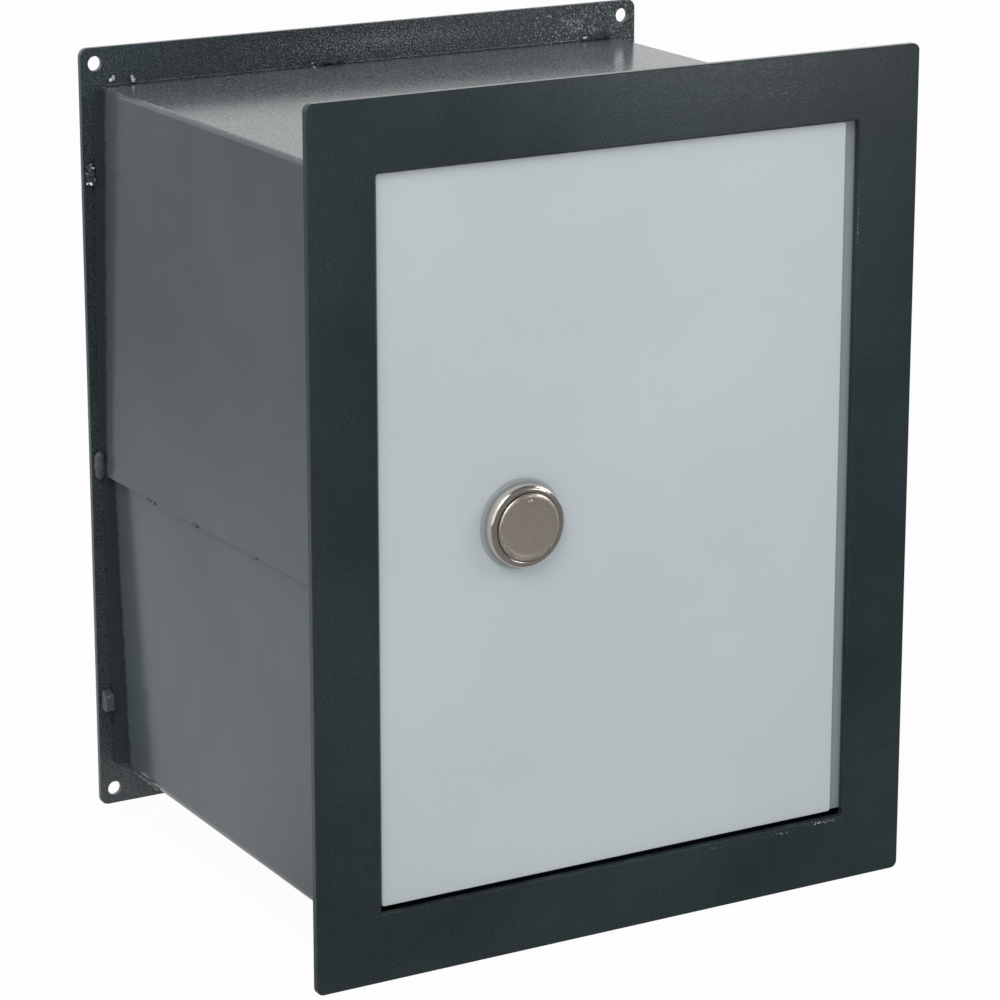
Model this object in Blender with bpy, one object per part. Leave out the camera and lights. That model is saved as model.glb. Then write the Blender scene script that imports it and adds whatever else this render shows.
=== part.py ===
"""Key-operated wall safe, in metres, +Z up, with its front towards -Y.

The origin is the middle of the rear plate's back face, which bears on the wall.
Door closed and bolts drawn back is the rest position.
"""

import math

import bmesh
import bpy
from mathutils import Matrix, Vector

MM = 0.001

# Finishes as (colour, roughness, metallic)
DARK_PAINT = ((0.030, 0.040, 0.044), 0.55, 0.0)
BODY_PAINT = ((0.105, 0.125, 0.132), 0.50, 0.0)
DOOR_PAINT = ((0.48, 0.53, 0.56), 0.45, 0.0)
MID_PAINT = ((0.19, 0.23, 0.24), 0.50, 0.0)
STEEL = ((0.42, 0.42, 0.42), 0.40, 1.0)
NICKEL = ((0.62, 0.58, 0.53), 0.22, 1.0)
BRASS = ((0.70, 0.55, 0.28), 0.30, 1.0)

# Clearances shared by all pieces
SEAT_GAP = 0.3 * MM
RUN_GAP = 0.3 * MM
CUT_OVERRUN = 2.0 * MM
MERGE_DISTANCE = 0.001 * MM
ROUND_STEPS = 32
SMALL_STEPS = 20
BEND_STEPS = 4
QUARTER_TURN = math.radians(90.0)
SHARP_ANGLE = math.radians(35.0)
SOFTEN_ANGLE = math.radians(50.0)

# Front frame and overall depth
FRAME_WIDTH = 337.0 * MM
FRAME_HEIGHT = 430.0 * MM
FRAME_BORDER = 34.8 * MM
FRAME_PLATE = 4.0 * MM
FRAME_CORNER = 3.6 * MM
FRAME_INNER_CORNER = 1.6 * MM
FRAME_EDGE = 0.5 * MM
DEPTH = 260.0 * MM

# Folded body sheets
SHEET = 2.0 * MM
UPPER_BEND = 4.0 * MM
LOWER_BEND = 8.0 * MM
BODY_SIDE_STEP = 20.3 * MM
BODY_TOP_STEP = 2.3 * MM
BODY_BOTTOM_STEP = 6.8 * MM
SEAM_DROP = 20.5 * MM
SEAM_LAP = 12.0 * MM
LAP_GAP = 0.5 * MM
UPPER_SPLAY = 4.5 * MM
LOWER_SPLAY = 3.0 * MM
LOWER_TUCK = 2.0 * MM
LIP_THICK = 2.0 * MM
UPPER_LIP_AT_FOLD = 4.0 * MM
UPPER_LIP_AT_SEAM = 2.3 * MM
LOWER_LIP_AT_FOLD = 7.0 * MM
LOWER_LIP_AT_SEAM = 4.3 * MM
SHELL_STATIONS = 5

# Rear plate and its anchor holes
REAR_PLATE = 3.0 * MM
REAR_SIDE_MARGIN = 10.5 * MM
REAR_TOP_MARGIN = 20.0 * MM
REAR_BOTTOM_MARGIN = 15.6 * MM
REAR_CORNER = 4.5 * MM
ANCHOR_RADIUS = 3.75 * MM
ANCHOR_INSET = 8.2 * MM

# Door leaf
DOOR_RECESS = 3.2 * MM
SKIN = 1.5 * MM
SKIN_GAP = 2.0 * MM
SKIN_FOOT_GAP = 2.5 * MM
SKIN_TOP_GAP = 0.9 * MM
SKIN_HINGE_GAP = 5.7 * MM
SKIN_CORNER = 1.5 * MM
SKIN_EDGE = 0.4 * MM
DOOR_PLATE = 4.0 * MM
DOOR_PLATE_INSET = 0.3 * MM
HINGE_SIDE_LAP = 2.3 * MM
RIM = 2.0 * MM
RIM_DEPTH = 18.0 * MM

# Hinges
HINGE_AXIS_INSET = 17.2 * MM
HINGE_AXIS_DEPTH = 16.0 * MM
HINGE_END_INSET = 52.4 * MM
PIN_RADIUS = 3.0 * MM
PIN_HEAD = 1.5 * MM
PIN_HEAD_RADIUS = 4.5 * MM
EYE_RADIUS = 6.5 * MM
ARM_THICK = 6.0 * MM
ARM_WIDTH = 9.0 * MM
ARM_REACH = 24.0 * MM
ARM_PAD_HEIGHT = 44.0 * MM
ARM_PAD_DEPTH = 20.0 * MM
ARM_PAD_THICK = 3.0 * MM
EAR_THICK = 5.0 * MM
EAR_WIDTH = 22.0 * MM
EAR_BACK = 4.0 * MM

# Bolt work
BOLT_RADIUS = 7.0 * MM
BOLT_TIP_CHAMFER = 1.0 * MM
BOLT_END_INSET = 95.4 * MM
BOLT_DRAWN_INSET = 0.5 * MM
BOLT_PLANE_DEPTH = 12.0 * MM
CARRIAGE_WIDTH = 8.0 * MM
CARRIAGE_DEPTH = 10.0 * MM
CARRIAGE_OVERLAP = 10.0 * MM
CARRIAGE_INSET = 36.0 * MM

# Rack and pinion
GEAR_MODULE = 1.0 * MM
PINION_TEETH = 10
PINION_FACE = 6.0 * MM
ADDENDUM_SHARE = 0.9
DEDENDUM_SHARE = 1.25
TOOTH_ROOT_SHARE = 0.5
TOOTH_PITCH_SHARE = 0.36
TOOTH_TIP_SHARE = 0.16
RACK_DEPTH = 6.0 * MM
RACK_RUNOUT = 8.0 * MM
RACK_GUIDE_WALL = 3.0 * MM
RACK_GUIDE_LENGTH = 12.0 * MM
RACK_GUIDE_GAP = 3.5 * MM
KEY_TURN = math.radians(180.0)

# Keeper and door stops
KEEPER = 4.0 * MM
KEEPER_GAP = 1.3 * MM
KEEPER_DEPTH = 33.0 * MM
KEEPER_OVERLAP = 58.0 * MM
KEEPER_HOLE_GAP = 1.0 * MM
STOP_HEIGHT = 16.0 * MM
STOP_DEPTH = 6.0 * MM
STOP_REACH = 9.0 * MM
STOP_GAP = 0.6 * MM
STOP_BEYOND_BOLT = 38.0 * MM

# Lock at the front
LOCK_BACKSET = 76.7 * MM
LOCK_Z = 2.5 * MM
WASHER_RADIUS = 22.3 * MM
WASHER = 0.8 * MM
ROSETTE_RADIUS = 20.5 * MM
ROSETTE_FLAT_RADIUS = 17.4 * MM
ROSETTE_HEIGHT = 5.9 * MM
ROSETTE_SIDE = 3.1 * MM
LOCK_BODY_RADIUS = 10.7 * MM
LOCK_BODY_INSET = 0.6 * MM
LOCK_BODY_LENGTH = 18.0 * MM
PLUG_RADIUS = 6.0 * MM
KEYWAY_WIDTH = 2.2 * MM
KEYWAY_HEIGHT = 8.4 * MM
KEYWAY_DEPTH = 11.0 * MM
SPINDLE_RADIUS = 2.5 * MM
LOCK_NUT_RADIUS = 15.0 * MM
LOCK_NUT_SIDES = 6
LOCK_NUT = 3.0 * MM
COVER_RADIUS = 16.6 * MM
COVER = 1.2 * MM
COVER_EDGE = 0.3 * MM
RIVET_RISE = 12.5 * MM
RIVET_RADIUS = 1.0 * MM
RIVET_HEAD_RADIUS = 1.9 * MM
RIVET_HEAD = 0.6 * MM
RIVET_SEAT = 1.5 * MM

# Cover over the bolt work, inside the door
PAN = 1.2 * MM
PAN_DEPTH = 23.0 * MM
PAN_LOCK_SIDE_INSET = 9.0 * MM
PAN_HINGE_SIDE_INSET = 18.5 * MM
PAN_END_INSET = 27.4 * MM
PAN_FLANGE = 12.0 * MM
PAN_CORNER = 3.0 * MM
SCREW_RADIUS = 1.8 * MM
SCREW_HEAD_RADIUS = 3.6 * MM
SCREW_HEAD = 2.2 * MM
SCREW_INSET = 22.0 * MM
SCREW_SLOT = 0.9 * MM
SCREW_SLOT_DEPTH = 1.0 * MM

# Places worked out from the sizes above
FRONT_Y = -DEPTH
FRAME_BACK_Y = FRONT_Y + FRAME_PLATE
OPENING_X = FRAME_WIDTH / 2 - FRAME_BORDER
OPENING_Z = FRAME_HEIGHT / 2 - FRAME_BORDER
UPPER_X = OPENING_X + BODY_SIDE_STEP
LOWER_X = UPPER_X - SHEET - LAP_GAP
BODY_TOP = OPENING_Z + BODY_TOP_STEP
BODY_BOTTOM = -(OPENING_Z + BODY_BOTTOM_STEP)
SHELL_FRONT_Y = FRAME_BACK_Y + SEAT_GAP
SHELL_REAR_Y = -REAR_PLATE - SEAT_GAP
REAR_X = UPPER_X + REAR_SIDE_MARGIN
LIP_FRONT_Y = SHELL_REAR_Y - LIP_THICK
REAR_TOP = BODY_TOP + REAR_TOP_MARGIN
REAR_BOTTOM = BODY_BOTTOM - REAR_BOTTOM_MARGIN

SKIN_FRONT_Y = FRONT_Y + DOOR_RECESS
SKIN_BACK_Y = SKIN_FRONT_Y + SKIN
SKIN_LEFT = -(OPENING_X - SKIN_GAP)
SKIN_RIGHT = OPENING_X - SKIN_HINGE_GAP
SKIN_Z = OPENING_Z - SKIN_FOOT_GAP
SKIN_TOP = OPENING_Z - SKIN_TOP_GAP
PLATE_FRONT_Y = SKIN_BACK_Y + SEAT_GAP
PLATE_BACK_Y = PLATE_FRONT_Y + DOOR_PLATE
PLATE_LEFT = SKIN_LEFT + DOOR_PLATE_INSET
PLATE_RIGHT = OPENING_X + HINGE_SIDE_LAP
PLATE_Z = SKIN_Z - DOOR_PLATE_INSET
PLATE_TOP = SKIN_TOP - DOOR_PLATE_INSET
WORK_Y = PLATE_BACK_Y + SEAT_GAP
LOCK_X = SKIN_LEFT + LOCK_BACKSET
HINGE_SPREAD = PLATE_Z - HINGE_END_INSET
BOLT_SPREAD = PLATE_Z - BOLT_END_INSET
STOP_SPREAD = BOLT_SPREAD + STOP_BEYOND_BOLT

AXIS_X = OPENING_X - HINGE_AXIS_INSET
AXIS_Y = FRONT_Y + HINGE_AXIS_DEPTH

BOLT_Y = PLATE_BACK_Y + BOLT_PLANE_DEPTH
BOLT_TIP_X = PLATE_LEFT + BOLT_DRAWN_INSET
CARRIAGE_LEFT = PLATE_LEFT + CARRIAGE_INSET
CARRIAGE_RIGHT = CARRIAGE_LEFT + CARRIAGE_WIDTH
PITCH_RADIUS = GEAR_MODULE * PINION_TEETH / 2
PITCH = math.pi * GEAR_MODULE
BOLT_THROW = PITCH_RADIUS * KEY_TURN
ADDENDUM = ADDENDUM_SHARE * GEAR_MODULE
DEDENDUM = DEDENDUM_SHARE * GEAR_MODULE
RACK_TOP = LOCK_Z - PITCH_RADIUS

KEEPER_RIGHT = -(OPENING_X + KEEPER_GAP)
KEEPER_LEFT = KEEPER_RIGHT - KEEPER
KEEPER_BACK_Y = FRAME_BACK_Y + KEEPER_DEPTH

WASHER_BACK_Y = SKIN_FRONT_Y - SEAT_GAP
WASHER_FRONT_Y = WASHER_BACK_Y - WASHER
ROSETTE_BACK_Y = WASHER_FRONT_Y - SEAT_GAP
ROSETTE_FRONT_Y = ROSETTE_BACK_Y - ROSETTE_HEIGHT
LOCK_FRONT_Y = ROSETTE_FRONT_Y + LOCK_BODY_INSET
LOCK_BACK_Y = LOCK_FRONT_Y + LOCK_BODY_LENGTH
LOCK_HOLE_RADIUS = LOCK_BODY_RADIUS + SEAT_GAP
PINION_FRONT_Y = BOLT_Y - PINION_FACE / 2
PINION_BACK_Y = BOLT_Y + PINION_FACE / 2
COVER_BACK_Y = ROSETTE_FRONT_Y - RUN_GAP
COVER_FRONT_Y = COVER_BACK_Y - COVER
RIVET_Z = LOCK_Z + RIVET_RISE

PAN_LEFT = PLATE_LEFT + PAN_LOCK_SIDE_INSET
PAN_RIGHT = AXIS_X - PAN_HINGE_SIDE_INSET
PAN_BACK_Y = WORK_Y + PAN_DEPTH
PAN_HALF_HEIGHT = PLATE_Z - PAN_END_INSET


def clear_scene():
    """Removes what a new file starts with."""
    for thing in list(bpy.data.objects):
        bpy.data.objects.remove(thing, do_unlink=True)


def make_material(name, look):
    """A Principled material from a finish."""
    colour, roughness, metallic = look
    material = bpy.data.materials.new(name)
    material.use_nodes = True
    shader = material.node_tree.nodes["Principled BSDF"]
    shader.inputs["Base Color"].default_value = (*colour, 1.0)
    shader.inputs["Roughness"].default_value = roughness
    shader.inputs["Metallic"].default_value = metallic
    return material


def make_object(name, mesh_builder, look, smooth=False):
    """Turns a bmesh into a named object with its faces pointing out."""
    bmesh.ops.remove_doubles(mesh_builder, verts=mesh_builder.verts[:], dist=MERGE_DISTANCE)
    bmesh.ops.recalc_face_normals(mesh_builder, faces=mesh_builder.faces[:])
    mesh = bpy.data.meshes.new(name)
    mesh_builder.to_mesh(mesh)
    mesh_builder.free()
    mesh.materials.append(make_material(name, look))
    if smooth:
        mesh.shade_smooth()
        mesh.set_sharp_from_angle(angle=SHARP_ANGLE)
    thing = bpy.data.objects.new(name, mesh)
    bpy.context.scene.collection.objects.link(thing)
    return thing


def extrusion(outline, axis, low, high):
    """A prism: an outline in the plane across an axis, extruded from low to high along it.

    Outline points are (x, z) for axis Y, (y, z) for axis X and (x, y) for axis Z.
    """
    place = {
        "X": lambda a, b: Vector((low, a, b)),
        "Y": lambda a, b: Vector((a, low, b)),
        "Z": lambda a, b: Vector((a, b, low)),
    }[axis]
    along = {"X": Vector((1, 0, 0)), "Y": Vector((0, 1, 0)), "Z": Vector((0, 0, 1))}[axis]
    builder = bmesh.new()
    base = builder.faces.new([builder.verts.new(place(a, b)) for a, b in outline])
    grown = bmesh.ops.extrude_face_region(builder, geom=[base])
    moved = [item for item in grown["geom"] if isinstance(item, bmesh.types.BMVert)]
    bmesh.ops.translate(builder, verts=moved, vec=along * (high - low))
    return builder


def box_builder(low, high):
    """A box between two corners."""
    outline = [(low[0], low[2]), (high[0], low[2]), (high[0], high[2]), (low[0], high[2])]
    return extrusion(outline, "Y", low[1], high[1])


def turned(profile, axis, centre, steps=ROUND_STEPS):
    """A solid of revolution. The profile is a closed ring of (radius, place along the axis)."""
    radial = {"X": Vector((0, 0, 1)), "Y": Vector((1, 0, 0)), "Z": Vector((1, 0, 0))}[axis]
    along = {"X": Vector((1, 0, 0)), "Y": Vector((0, 1, 0)), "Z": Vector((0, 0, 1))}[axis]
    builder = bmesh.new()
    verts = [builder.verts.new(radial * radius + along * place) for radius, place in profile]
    ring = [builder.edges.new((verts[i], verts[i - 1])) for i in range(len(verts))]
    # A closed profile meets the axis in at most one edge, which would turn into nothing
    for edge in [e for e in ring if all(v.co.cross(along).length < MERGE_DISTANCE for v in e.verts)]:
        ring.remove(edge)
        builder.edges.remove(edge)
    bmesh.ops.spin(
        builder,
        geom=verts + ring,
        cent=(0, 0, 0),
        axis=along,
        angle=2 * math.pi,
        steps=steps,
        use_merge=True,
    )
    bmesh.ops.remove_doubles(builder, verts=builder.verts[:], dist=MERGE_DISTANCE)
    bmesh.ops.translate(builder, verts=builder.verts[:], vec=centre)
    return builder


def rod(radius, axis, centre, low, high, steps=ROUND_STEPS):
    """A plain round bar between two places along an axis."""
    return turned([(0, low), (radius, low), (radius, high), (0, high)], axis, centre, steps)


def rounded_box(left, right, bottom, top, radius, steps=BEND_STEPS):
    """A rectangle with round corners, anticlockwise from its lower right corner."""
    corners = [
        (right - radius, bottom + radius),
        (right - radius, top - radius),
        (left + radius, top - radius),
        (left + radius, bottom + radius),
    ]
    points = []
    for turn, (centre_a, centre_b) in enumerate(corners, -1):
        for step in range(steps + 1):
            angle = QUARTER_TURN * (turn + step / steps)
            points.append((centre_a + radius * math.cos(angle), centre_b + radius * math.sin(angle)))
    return points


def cutter(builder, name):
    """A hidden tool that a Boolean takes its shape from."""
    tool = make_object(name, builder, STEEL)
    tool.hide_render = True
    tool.display_type = "WIRE"
    return tool


def combine(target, builder, operation="DIFFERENCE"):
    """Cuts a shape from an object, or joins it on."""
    tool = cutter(builder, f"{target.name}_tool")
    change = target.modifiers.new(f"{operation.lower()}_{len(target.modifiers)}", "BOOLEAN")
    change.operation = operation
    change.object = tool
    change.solver = "EXACT"
    return target


def soften(target, width, steps=2):
    """Rounds the sharp edges of an object a little."""
    change = target.modifiers.new("edge", "BEVEL")
    change.width = width
    change.segments = steps
    change.limit_method = "ANGLE"
    change.angle_limit = SOFTEN_ANGLE
    return target


def add_axis(name, place, parent=None):
    """An empty on a joint's axis."""
    axis = bpy.data.objects.new(name, None)
    axis.empty_display_size = PITCH_RADIUS
    bpy.context.scene.collection.objects.link(axis)
    axis.location = place
    if parent is not None:
        axis.parent = parent
        axis.location = Vector(place) - world_place(parent)
    return axis


def world_place(thing):
    """Where an unturned object's origin is in the world."""
    place = Vector(thing.location)
    while thing.parent is not None:
        thing = thing.parent
        place = place + Vector(thing.location)
    return place


def hang(axis, *things):
    """Gives moving pieces, and the tools that cut them, their origin on a joint's axis."""
    place = world_place(axis)
    for thing in things:
        tools = [change.object for change in thing.modifiers if change.type == "BOOLEAN"]
        for item in [thing, *tools]:
            item.data.transform(Matrix.Translation(-place))
            item.parent = axis


def loft_along_y(sections):
    """A solid through closed sections of equal length, each given as (y, points).

    Points that fall together are merged, so two sections at one place make a step.
    """
    builder = bmesh.new()
    rings = [[builder.verts.new((x, y, z)) for x, z in points] for y, points in sections]
    for near, far in zip(rings, rings[1:]):
        for i in range(len(near)):
            builder.faces.new((near[i - 1], near[i], far[i], far[i - 1]))
    builder.faces.new(rings[0])
    builder.faces.new(list(reversed(rings[-1])))
    bmesh.ops.remove_doubles(builder, verts=builder.verts[:], dist=MERGE_DISTANCE)
    bmesh.ops.triangulate(builder, faces=builder.faces[:])
    return builder


def folded_section(edge_z, fold_z, edge_x, fold_x, bend, lip):
    """The section of a sheet folded to a U, as one closed ring of (x, z).

    The legs end at edge_z, where their outer faces are edge_x from the middle. The web lies
    at fold_z, where the outer faces are fold_x from the middle. A lip is the height that it
    starts at, and its reach there and at the fold. With no reach its points lie on the leg.
    """
    up = 1 if fold_z > edge_z else -1
    bend_z = fold_z - up * bend
    bend_x = fold_x - bend
    lip_z, seam_reach, fold_reach = lip
    lip_x = edge_x + (fold_x - edge_x) * (lip_z - edge_z) / (bend_z - edge_z)

    def curve(radius):
        angles = [QUARTER_TURN * step / BEND_STEPS for step in range(BEND_STEPS + 1)]
        return [(bend_x + radius * math.cos(a), bend_z + up * radius * math.sin(a)) for a in angles]

    outer = [(edge_x, edge_z), (lip_x, lip_z), (lip_x + seam_reach, lip_z)]
    outer += [(fold_x + fold_reach, bend_z)] + curve(bend)
    inner = [(edge_x - SHEET, edge_z)] + curve(bend - SHEET)
    outer += [(-x, z) for x, z in reversed(outer)]
    inner += [(-x, z) for x, z in reversed(inner)]
    return outer + list(reversed(inner))


def upper_form():
    """The upper sheet: edge_z, fold_z, bend, then (edge_x, fold_x) in front and at the rear."""
    rear = (UPPER_X + UPPER_SPLAY, UPPER_X)
    return -SEAM_DROP, BODY_TOP, UPPER_BEND, (UPPER_X, UPPER_X), rear


def lower_form():
    """The lower sheet, as in upper_form."""
    rear = (LOWER_X + LOWER_SPLAY, LOWER_X - LOWER_TUCK)
    return SEAM_LAP - SEAM_DROP, BODY_BOTTOM, LOWER_BEND, (LOWER_X, LOWER_X), rear


def leg_at(form, y):
    """How far from the middle a sheet's outer face is at its edge and at its fold."""
    front, rear = form[3], form[4]
    share = (y - SHELL_FRONT_Y) / (LIP_FRONT_Y - SHELL_FRONT_Y)
    return front[0] + (rear[0] - front[0]) * share, front[1] + (rear[1] - front[1]) * share


def inner_wall(form, y, z):
    """How far from the middle the inner face of a sheet's leg is."""
    edge_z, fold_z, bend = form[:3]
    edge_x, fold_x = leg_at(form, y)
    bend_z = fold_z - math.copysign(bend, fold_z - edge_z)
    return edge_x + (fold_x - edge_x) * (z - edge_z) / (bend_z - edge_z) - SHEET


def folded_shell(name, form, lip, look):
    """A folded sheet with legs that lean more at the rear, where they turn outward as lips."""
    edge_z, fold_z, bend, _, rear = form
    flat = (lip[0], 0, 0)
    sections = []
    for station in range(SHELL_STATIONS):
        y = SHELL_FRONT_Y + (LIP_FRONT_Y - SHELL_FRONT_Y) * station / (SHELL_STATIONS - 1)
        sections.append((y, folded_section(edge_z, fold_z, *leg_at(form, y), bend, flat)))
    turned_out = folded_section(edge_z, fold_z, *rear, bend, lip)
    sections += [(LIP_FRONT_Y, turned_out), (SHELL_REAR_Y, turned_out)]
    return make_object(name, loft_along_y(sections), look, smooth=True)


def make_front_frame(look):
    """The flat surround that laps the wall, with the door opening in it."""
    outline = rounded_box(
        -FRAME_WIDTH / 2, FRAME_WIDTH / 2, -FRAME_HEIGHT / 2, FRAME_HEIGHT / 2, FRAME_CORNER
    )
    frame = make_object("front_frame", extrusion(outline, "Y", FRONT_Y, FRAME_BACK_Y), look)
    opening = rounded_box(-OPENING_X, OPENING_X, -OPENING_Z, OPENING_Z, FRAME_INNER_CORNER)
    combine(frame, extrusion(opening, "Y", FRONT_Y - CUT_OVERRUN, FRAME_BACK_Y + CUT_OVERRUN))
    return soften(frame, FRAME_EDGE)


def make_rear_plate(look):
    """The rear wall, larger than the body, with an anchor hole in each corner."""
    outline = rounded_box(-REAR_X, REAR_X, REAR_BOTTOM, REAR_TOP, REAR_CORNER)
    plate = make_object("rear_plate", extrusion(outline, "Y", -REAR_PLATE, 0), look)
    for x in (-(REAR_X - ANCHOR_INSET), REAR_X - ANCHOR_INSET):
        for z in (REAR_BOTTOM + ANCHOR_INSET, REAR_TOP - ANCHOR_INSET):
            hole = rod(
                ANCHOR_RADIUS, "Y", (x, 0, z), -REAR_PLATE - CUT_OVERRUN, CUT_OVERRUN, SMALL_STEPS
            )
            combine(plate, hole)
    return plate


def make_upper_shell(look):
    """The upper sheet of the body, whose legs lap outside the lower one's."""
    lip = (-SEAM_DROP, UPPER_LIP_AT_SEAM, UPPER_LIP_AT_FOLD)
    return folded_shell("upper_shell", upper_form(), lip, look)


def make_lower_shell(look):
    """The lower sheet of the body. Its lips start below the upper sheet's."""
    lip = (-SEAM_DROP - SEAT_GAP, LOWER_LIP_AT_SEAM, LOWER_LIP_AT_FOLD)
    return folded_shell("lower_shell", lower_form(), lip, look)


def make_door_skin(look):
    """The pale sheet on the door's front, cut short on the hinge side."""
    outline = rounded_box(SKIN_LEFT, SKIN_RIGHT, -SKIN_Z, SKIN_TOP, SKIN_CORNER)
    skin = make_object("door_skin", extrusion(outline, "Y", SKIN_FRONT_Y, SKIN_BACK_Y), look)
    combine(skin, lock_hole())
    return soften(skin, SKIN_EDGE)


def lock_hole():
    """The bore through the door for the lock body."""
    return rod(
        LOCK_HOLE_RADIUS,
        "Y",
        (LOCK_X, 0, LOCK_Z),
        SKIN_FRONT_Y - CUT_OVERRUN,
        PLATE_BACK_Y + CUT_OVERRUN,
    )


def screw_places():
    """The four places of the pan's screws, as (x, z)."""
    z = PAN_HALF_HEIGHT + PAN_FLANGE / 2
    return [(x, side * z) for x in (PAN_LEFT + SCREW_INSET, PAN_RIGHT - SCREW_INSET) for side in (-1, 1)]


def make_door_plate(look):
    """The thick leaf behind the skin. It reaches behind the frame on the hinge side."""
    outline = rounded_box(PLATE_LEFT, PLATE_RIGHT, -PLATE_Z, PLATE_TOP, SKIN_CORNER)
    plate = make_object("door_plate", extrusion(outline, "Y", PLATE_FRONT_Y, PLATE_BACK_Y), look)
    combine(plate, lock_hole())
    for x, z in screw_places():
        hole = rod(
            SCREW_RADIUS + SEAT_GAP,
            "Y",
            (x, 0, z),
            PLATE_FRONT_Y - CUT_OVERRUN,
            PLATE_BACK_Y + CUT_OVERRUN,
            SMALL_STEPS,
        )
        combine(plate, hole)
    return plate


def bolt_places():
    """The heights of the three bolts."""
    return (LOCK_Z + BOLT_SPREAD, LOCK_Z, LOCK_Z - BOLT_SPREAD)


def make_door_rim(look):
    """The band turned back along the door's lock side, top and foot, with the bolt holes."""
    rim_right = PAN_RIGHT
    outline = [
        (rim_right, PLATE_Z),
        (PLATE_LEFT, PLATE_Z),
        (PLATE_LEFT, -PLATE_Z),
        (rim_right, -PLATE_Z),
        (rim_right, -PLATE_Z + RIM),
        (PLATE_LEFT + RIM, -PLATE_Z + RIM),
        (PLATE_LEFT + RIM, PLATE_Z - RIM),
        (rim_right, PLATE_Z - RIM),
    ]
    rim = make_object("door_rim", extrusion(outline, "Y", WORK_Y, WORK_Y + RIM_DEPTH), look)
    for z in bolt_places():
        hole = rod(
            BOLT_RADIUS + RUN_GAP,
            "X",
            (0, BOLT_Y, z),
            PLATE_LEFT - CUT_OVERRUN,
            PLATE_LEFT + RIM + CUT_OVERRUN,
        )
        combine(rim, hole)
    return rim


def make_hinge_bracket(name, z, form, look):
    """A hooked arm on the body's side wall, with an eye for the pin.

    It passes behind the sweep of the door plate's hinge-side margin.
    """
    low = z - ARM_THICK / 2
    high = z + ARM_THICK / 2
    back = AXIS_Y + ARM_REACH
    pad_y = back + ARM_WIDTH / 2 - ARM_PAD_DEPTH / 2
    pad_z = z - ARM_PAD_HEIGHT / 2
    walls = [
        inner_wall(form, pad_y + ARM_PAD_DEPTH * deep, pad_z + ARM_PAD_HEIGHT * tall)
        for deep in (0, 1)
        for tall in (0, 1)
    ]
    pad_right = min(walls) - SEAT_GAP
    outline = [
        (AXIS_X - EYE_RADIUS, AXIS_Y),
        (AXIS_X - EYE_RADIUS, back + ARM_WIDTH),
        (pad_right - ARM_PAD_THICK / 2, back + ARM_WIDTH),
        (pad_right - ARM_PAD_THICK / 2, back),
        (AXIS_X - EYE_RADIUS + ARM_WIDTH, back),
        (AXIS_X - EYE_RADIUS + ARM_WIDTH, AXIS_Y),
    ]
    bracket = make_object(name, extrusion(outline, "Z", low, high), look)
    combine(bracket, rod(EYE_RADIUS, "Z", (AXIS_X, AXIS_Y, 0), low, high, SMALL_STEPS), "UNION")
    pad_low = (pad_right - ARM_PAD_THICK, pad_y, pad_z)
    pad_high = (pad_right, pad_y + ARM_PAD_DEPTH, pad_z + ARM_PAD_HEIGHT)
    combine(bracket, box_builder(pad_low, pad_high), "UNION")
    bore = rod(
        PIN_RADIUS + RUN_GAP,
        "Z",
        (AXIS_X, AXIS_Y, 0),
        low - CUT_OVERRUN,
        high + CUT_OVERRUN,
        SMALL_STEPS,
    )
    return combine(bracket, bore)


def make_knuckle(name, z, look):
    """A clevis on the door plate: two ears that hold the pin above and below the arm."""
    gap = ARM_THICK / 2 + RUN_GAP
    outline = [
        (WORK_Y, z - gap - EAR_THICK),
        (AXIS_Y + EYE_RADIUS, z - gap - EAR_THICK),
        (AXIS_Y + EYE_RADIUS, z - gap),
        (WORK_Y + EAR_BACK, z - gap),
        (WORK_Y + EAR_BACK, z + gap),
        (AXIS_Y + EYE_RADIUS, z + gap),
        (AXIS_Y + EYE_RADIUS, z + gap + EAR_THICK),
        (WORK_Y, z + gap + EAR_THICK),
    ]
    left = AXIS_X + EYE_RADIUS - EAR_WIDTH
    knuckle = make_object(name, extrusion(outline, "X", left, AXIS_X + EYE_RADIUS), look)
    # The root stays left of the eye, so that the arm's eye has room to turn
    room = box_builder(
        (AXIS_X - EYE_RADIUS - RUN_GAP, WORK_Y - CUT_OVERRUN, z - gap),
        (AXIS_X + EYE_RADIUS + CUT_OVERRUN, AXIS_Y + EYE_RADIUS + CUT_OVERRUN, z + gap),
    )
    combine(knuckle, room)
    hole = rod(
        PIN_RADIUS + SEAT_GAP,
        "Z",
        (AXIS_X, AXIS_Y, z),
        -gap - EAR_THICK - CUT_OVERRUN,
        gap + EAR_THICK + CUT_OVERRUN,
        SMALL_STEPS,
    )
    return combine(knuckle, hole)


def make_pin(name, z, look):
    """A headed hinge pin."""
    half = ARM_THICK / 2 + RUN_GAP + EAR_THICK
    top = half + SEAT_GAP
    profile = [
        (0, -half),
        (PIN_RADIUS, -half),
        (PIN_RADIUS, top),
        (PIN_HEAD_RADIUS, top),
        (PIN_HEAD_RADIUS, top + PIN_HEAD),
        (0, top + PIN_HEAD),
    ]
    return make_object(name, turned(profile, "Z", (AXIS_X, AXIS_Y, z), SMALL_STEPS), look, True)


def make_bolt(name, z, look):
    """A round bolt with a chamfered tip."""
    end = CARRIAGE_LEFT - SEAT_GAP
    profile = [
        (0, BOLT_TIP_X),
        (BOLT_RADIUS - BOLT_TIP_CHAMFER, BOLT_TIP_X),
        (BOLT_RADIUS, BOLT_TIP_X + BOLT_TIP_CHAMFER),
        (BOLT_RADIUS, end),
        (0, end),
    ]
    return make_object(name, turned(profile, "X", (0, BOLT_Y, z)), look, True)


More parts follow.
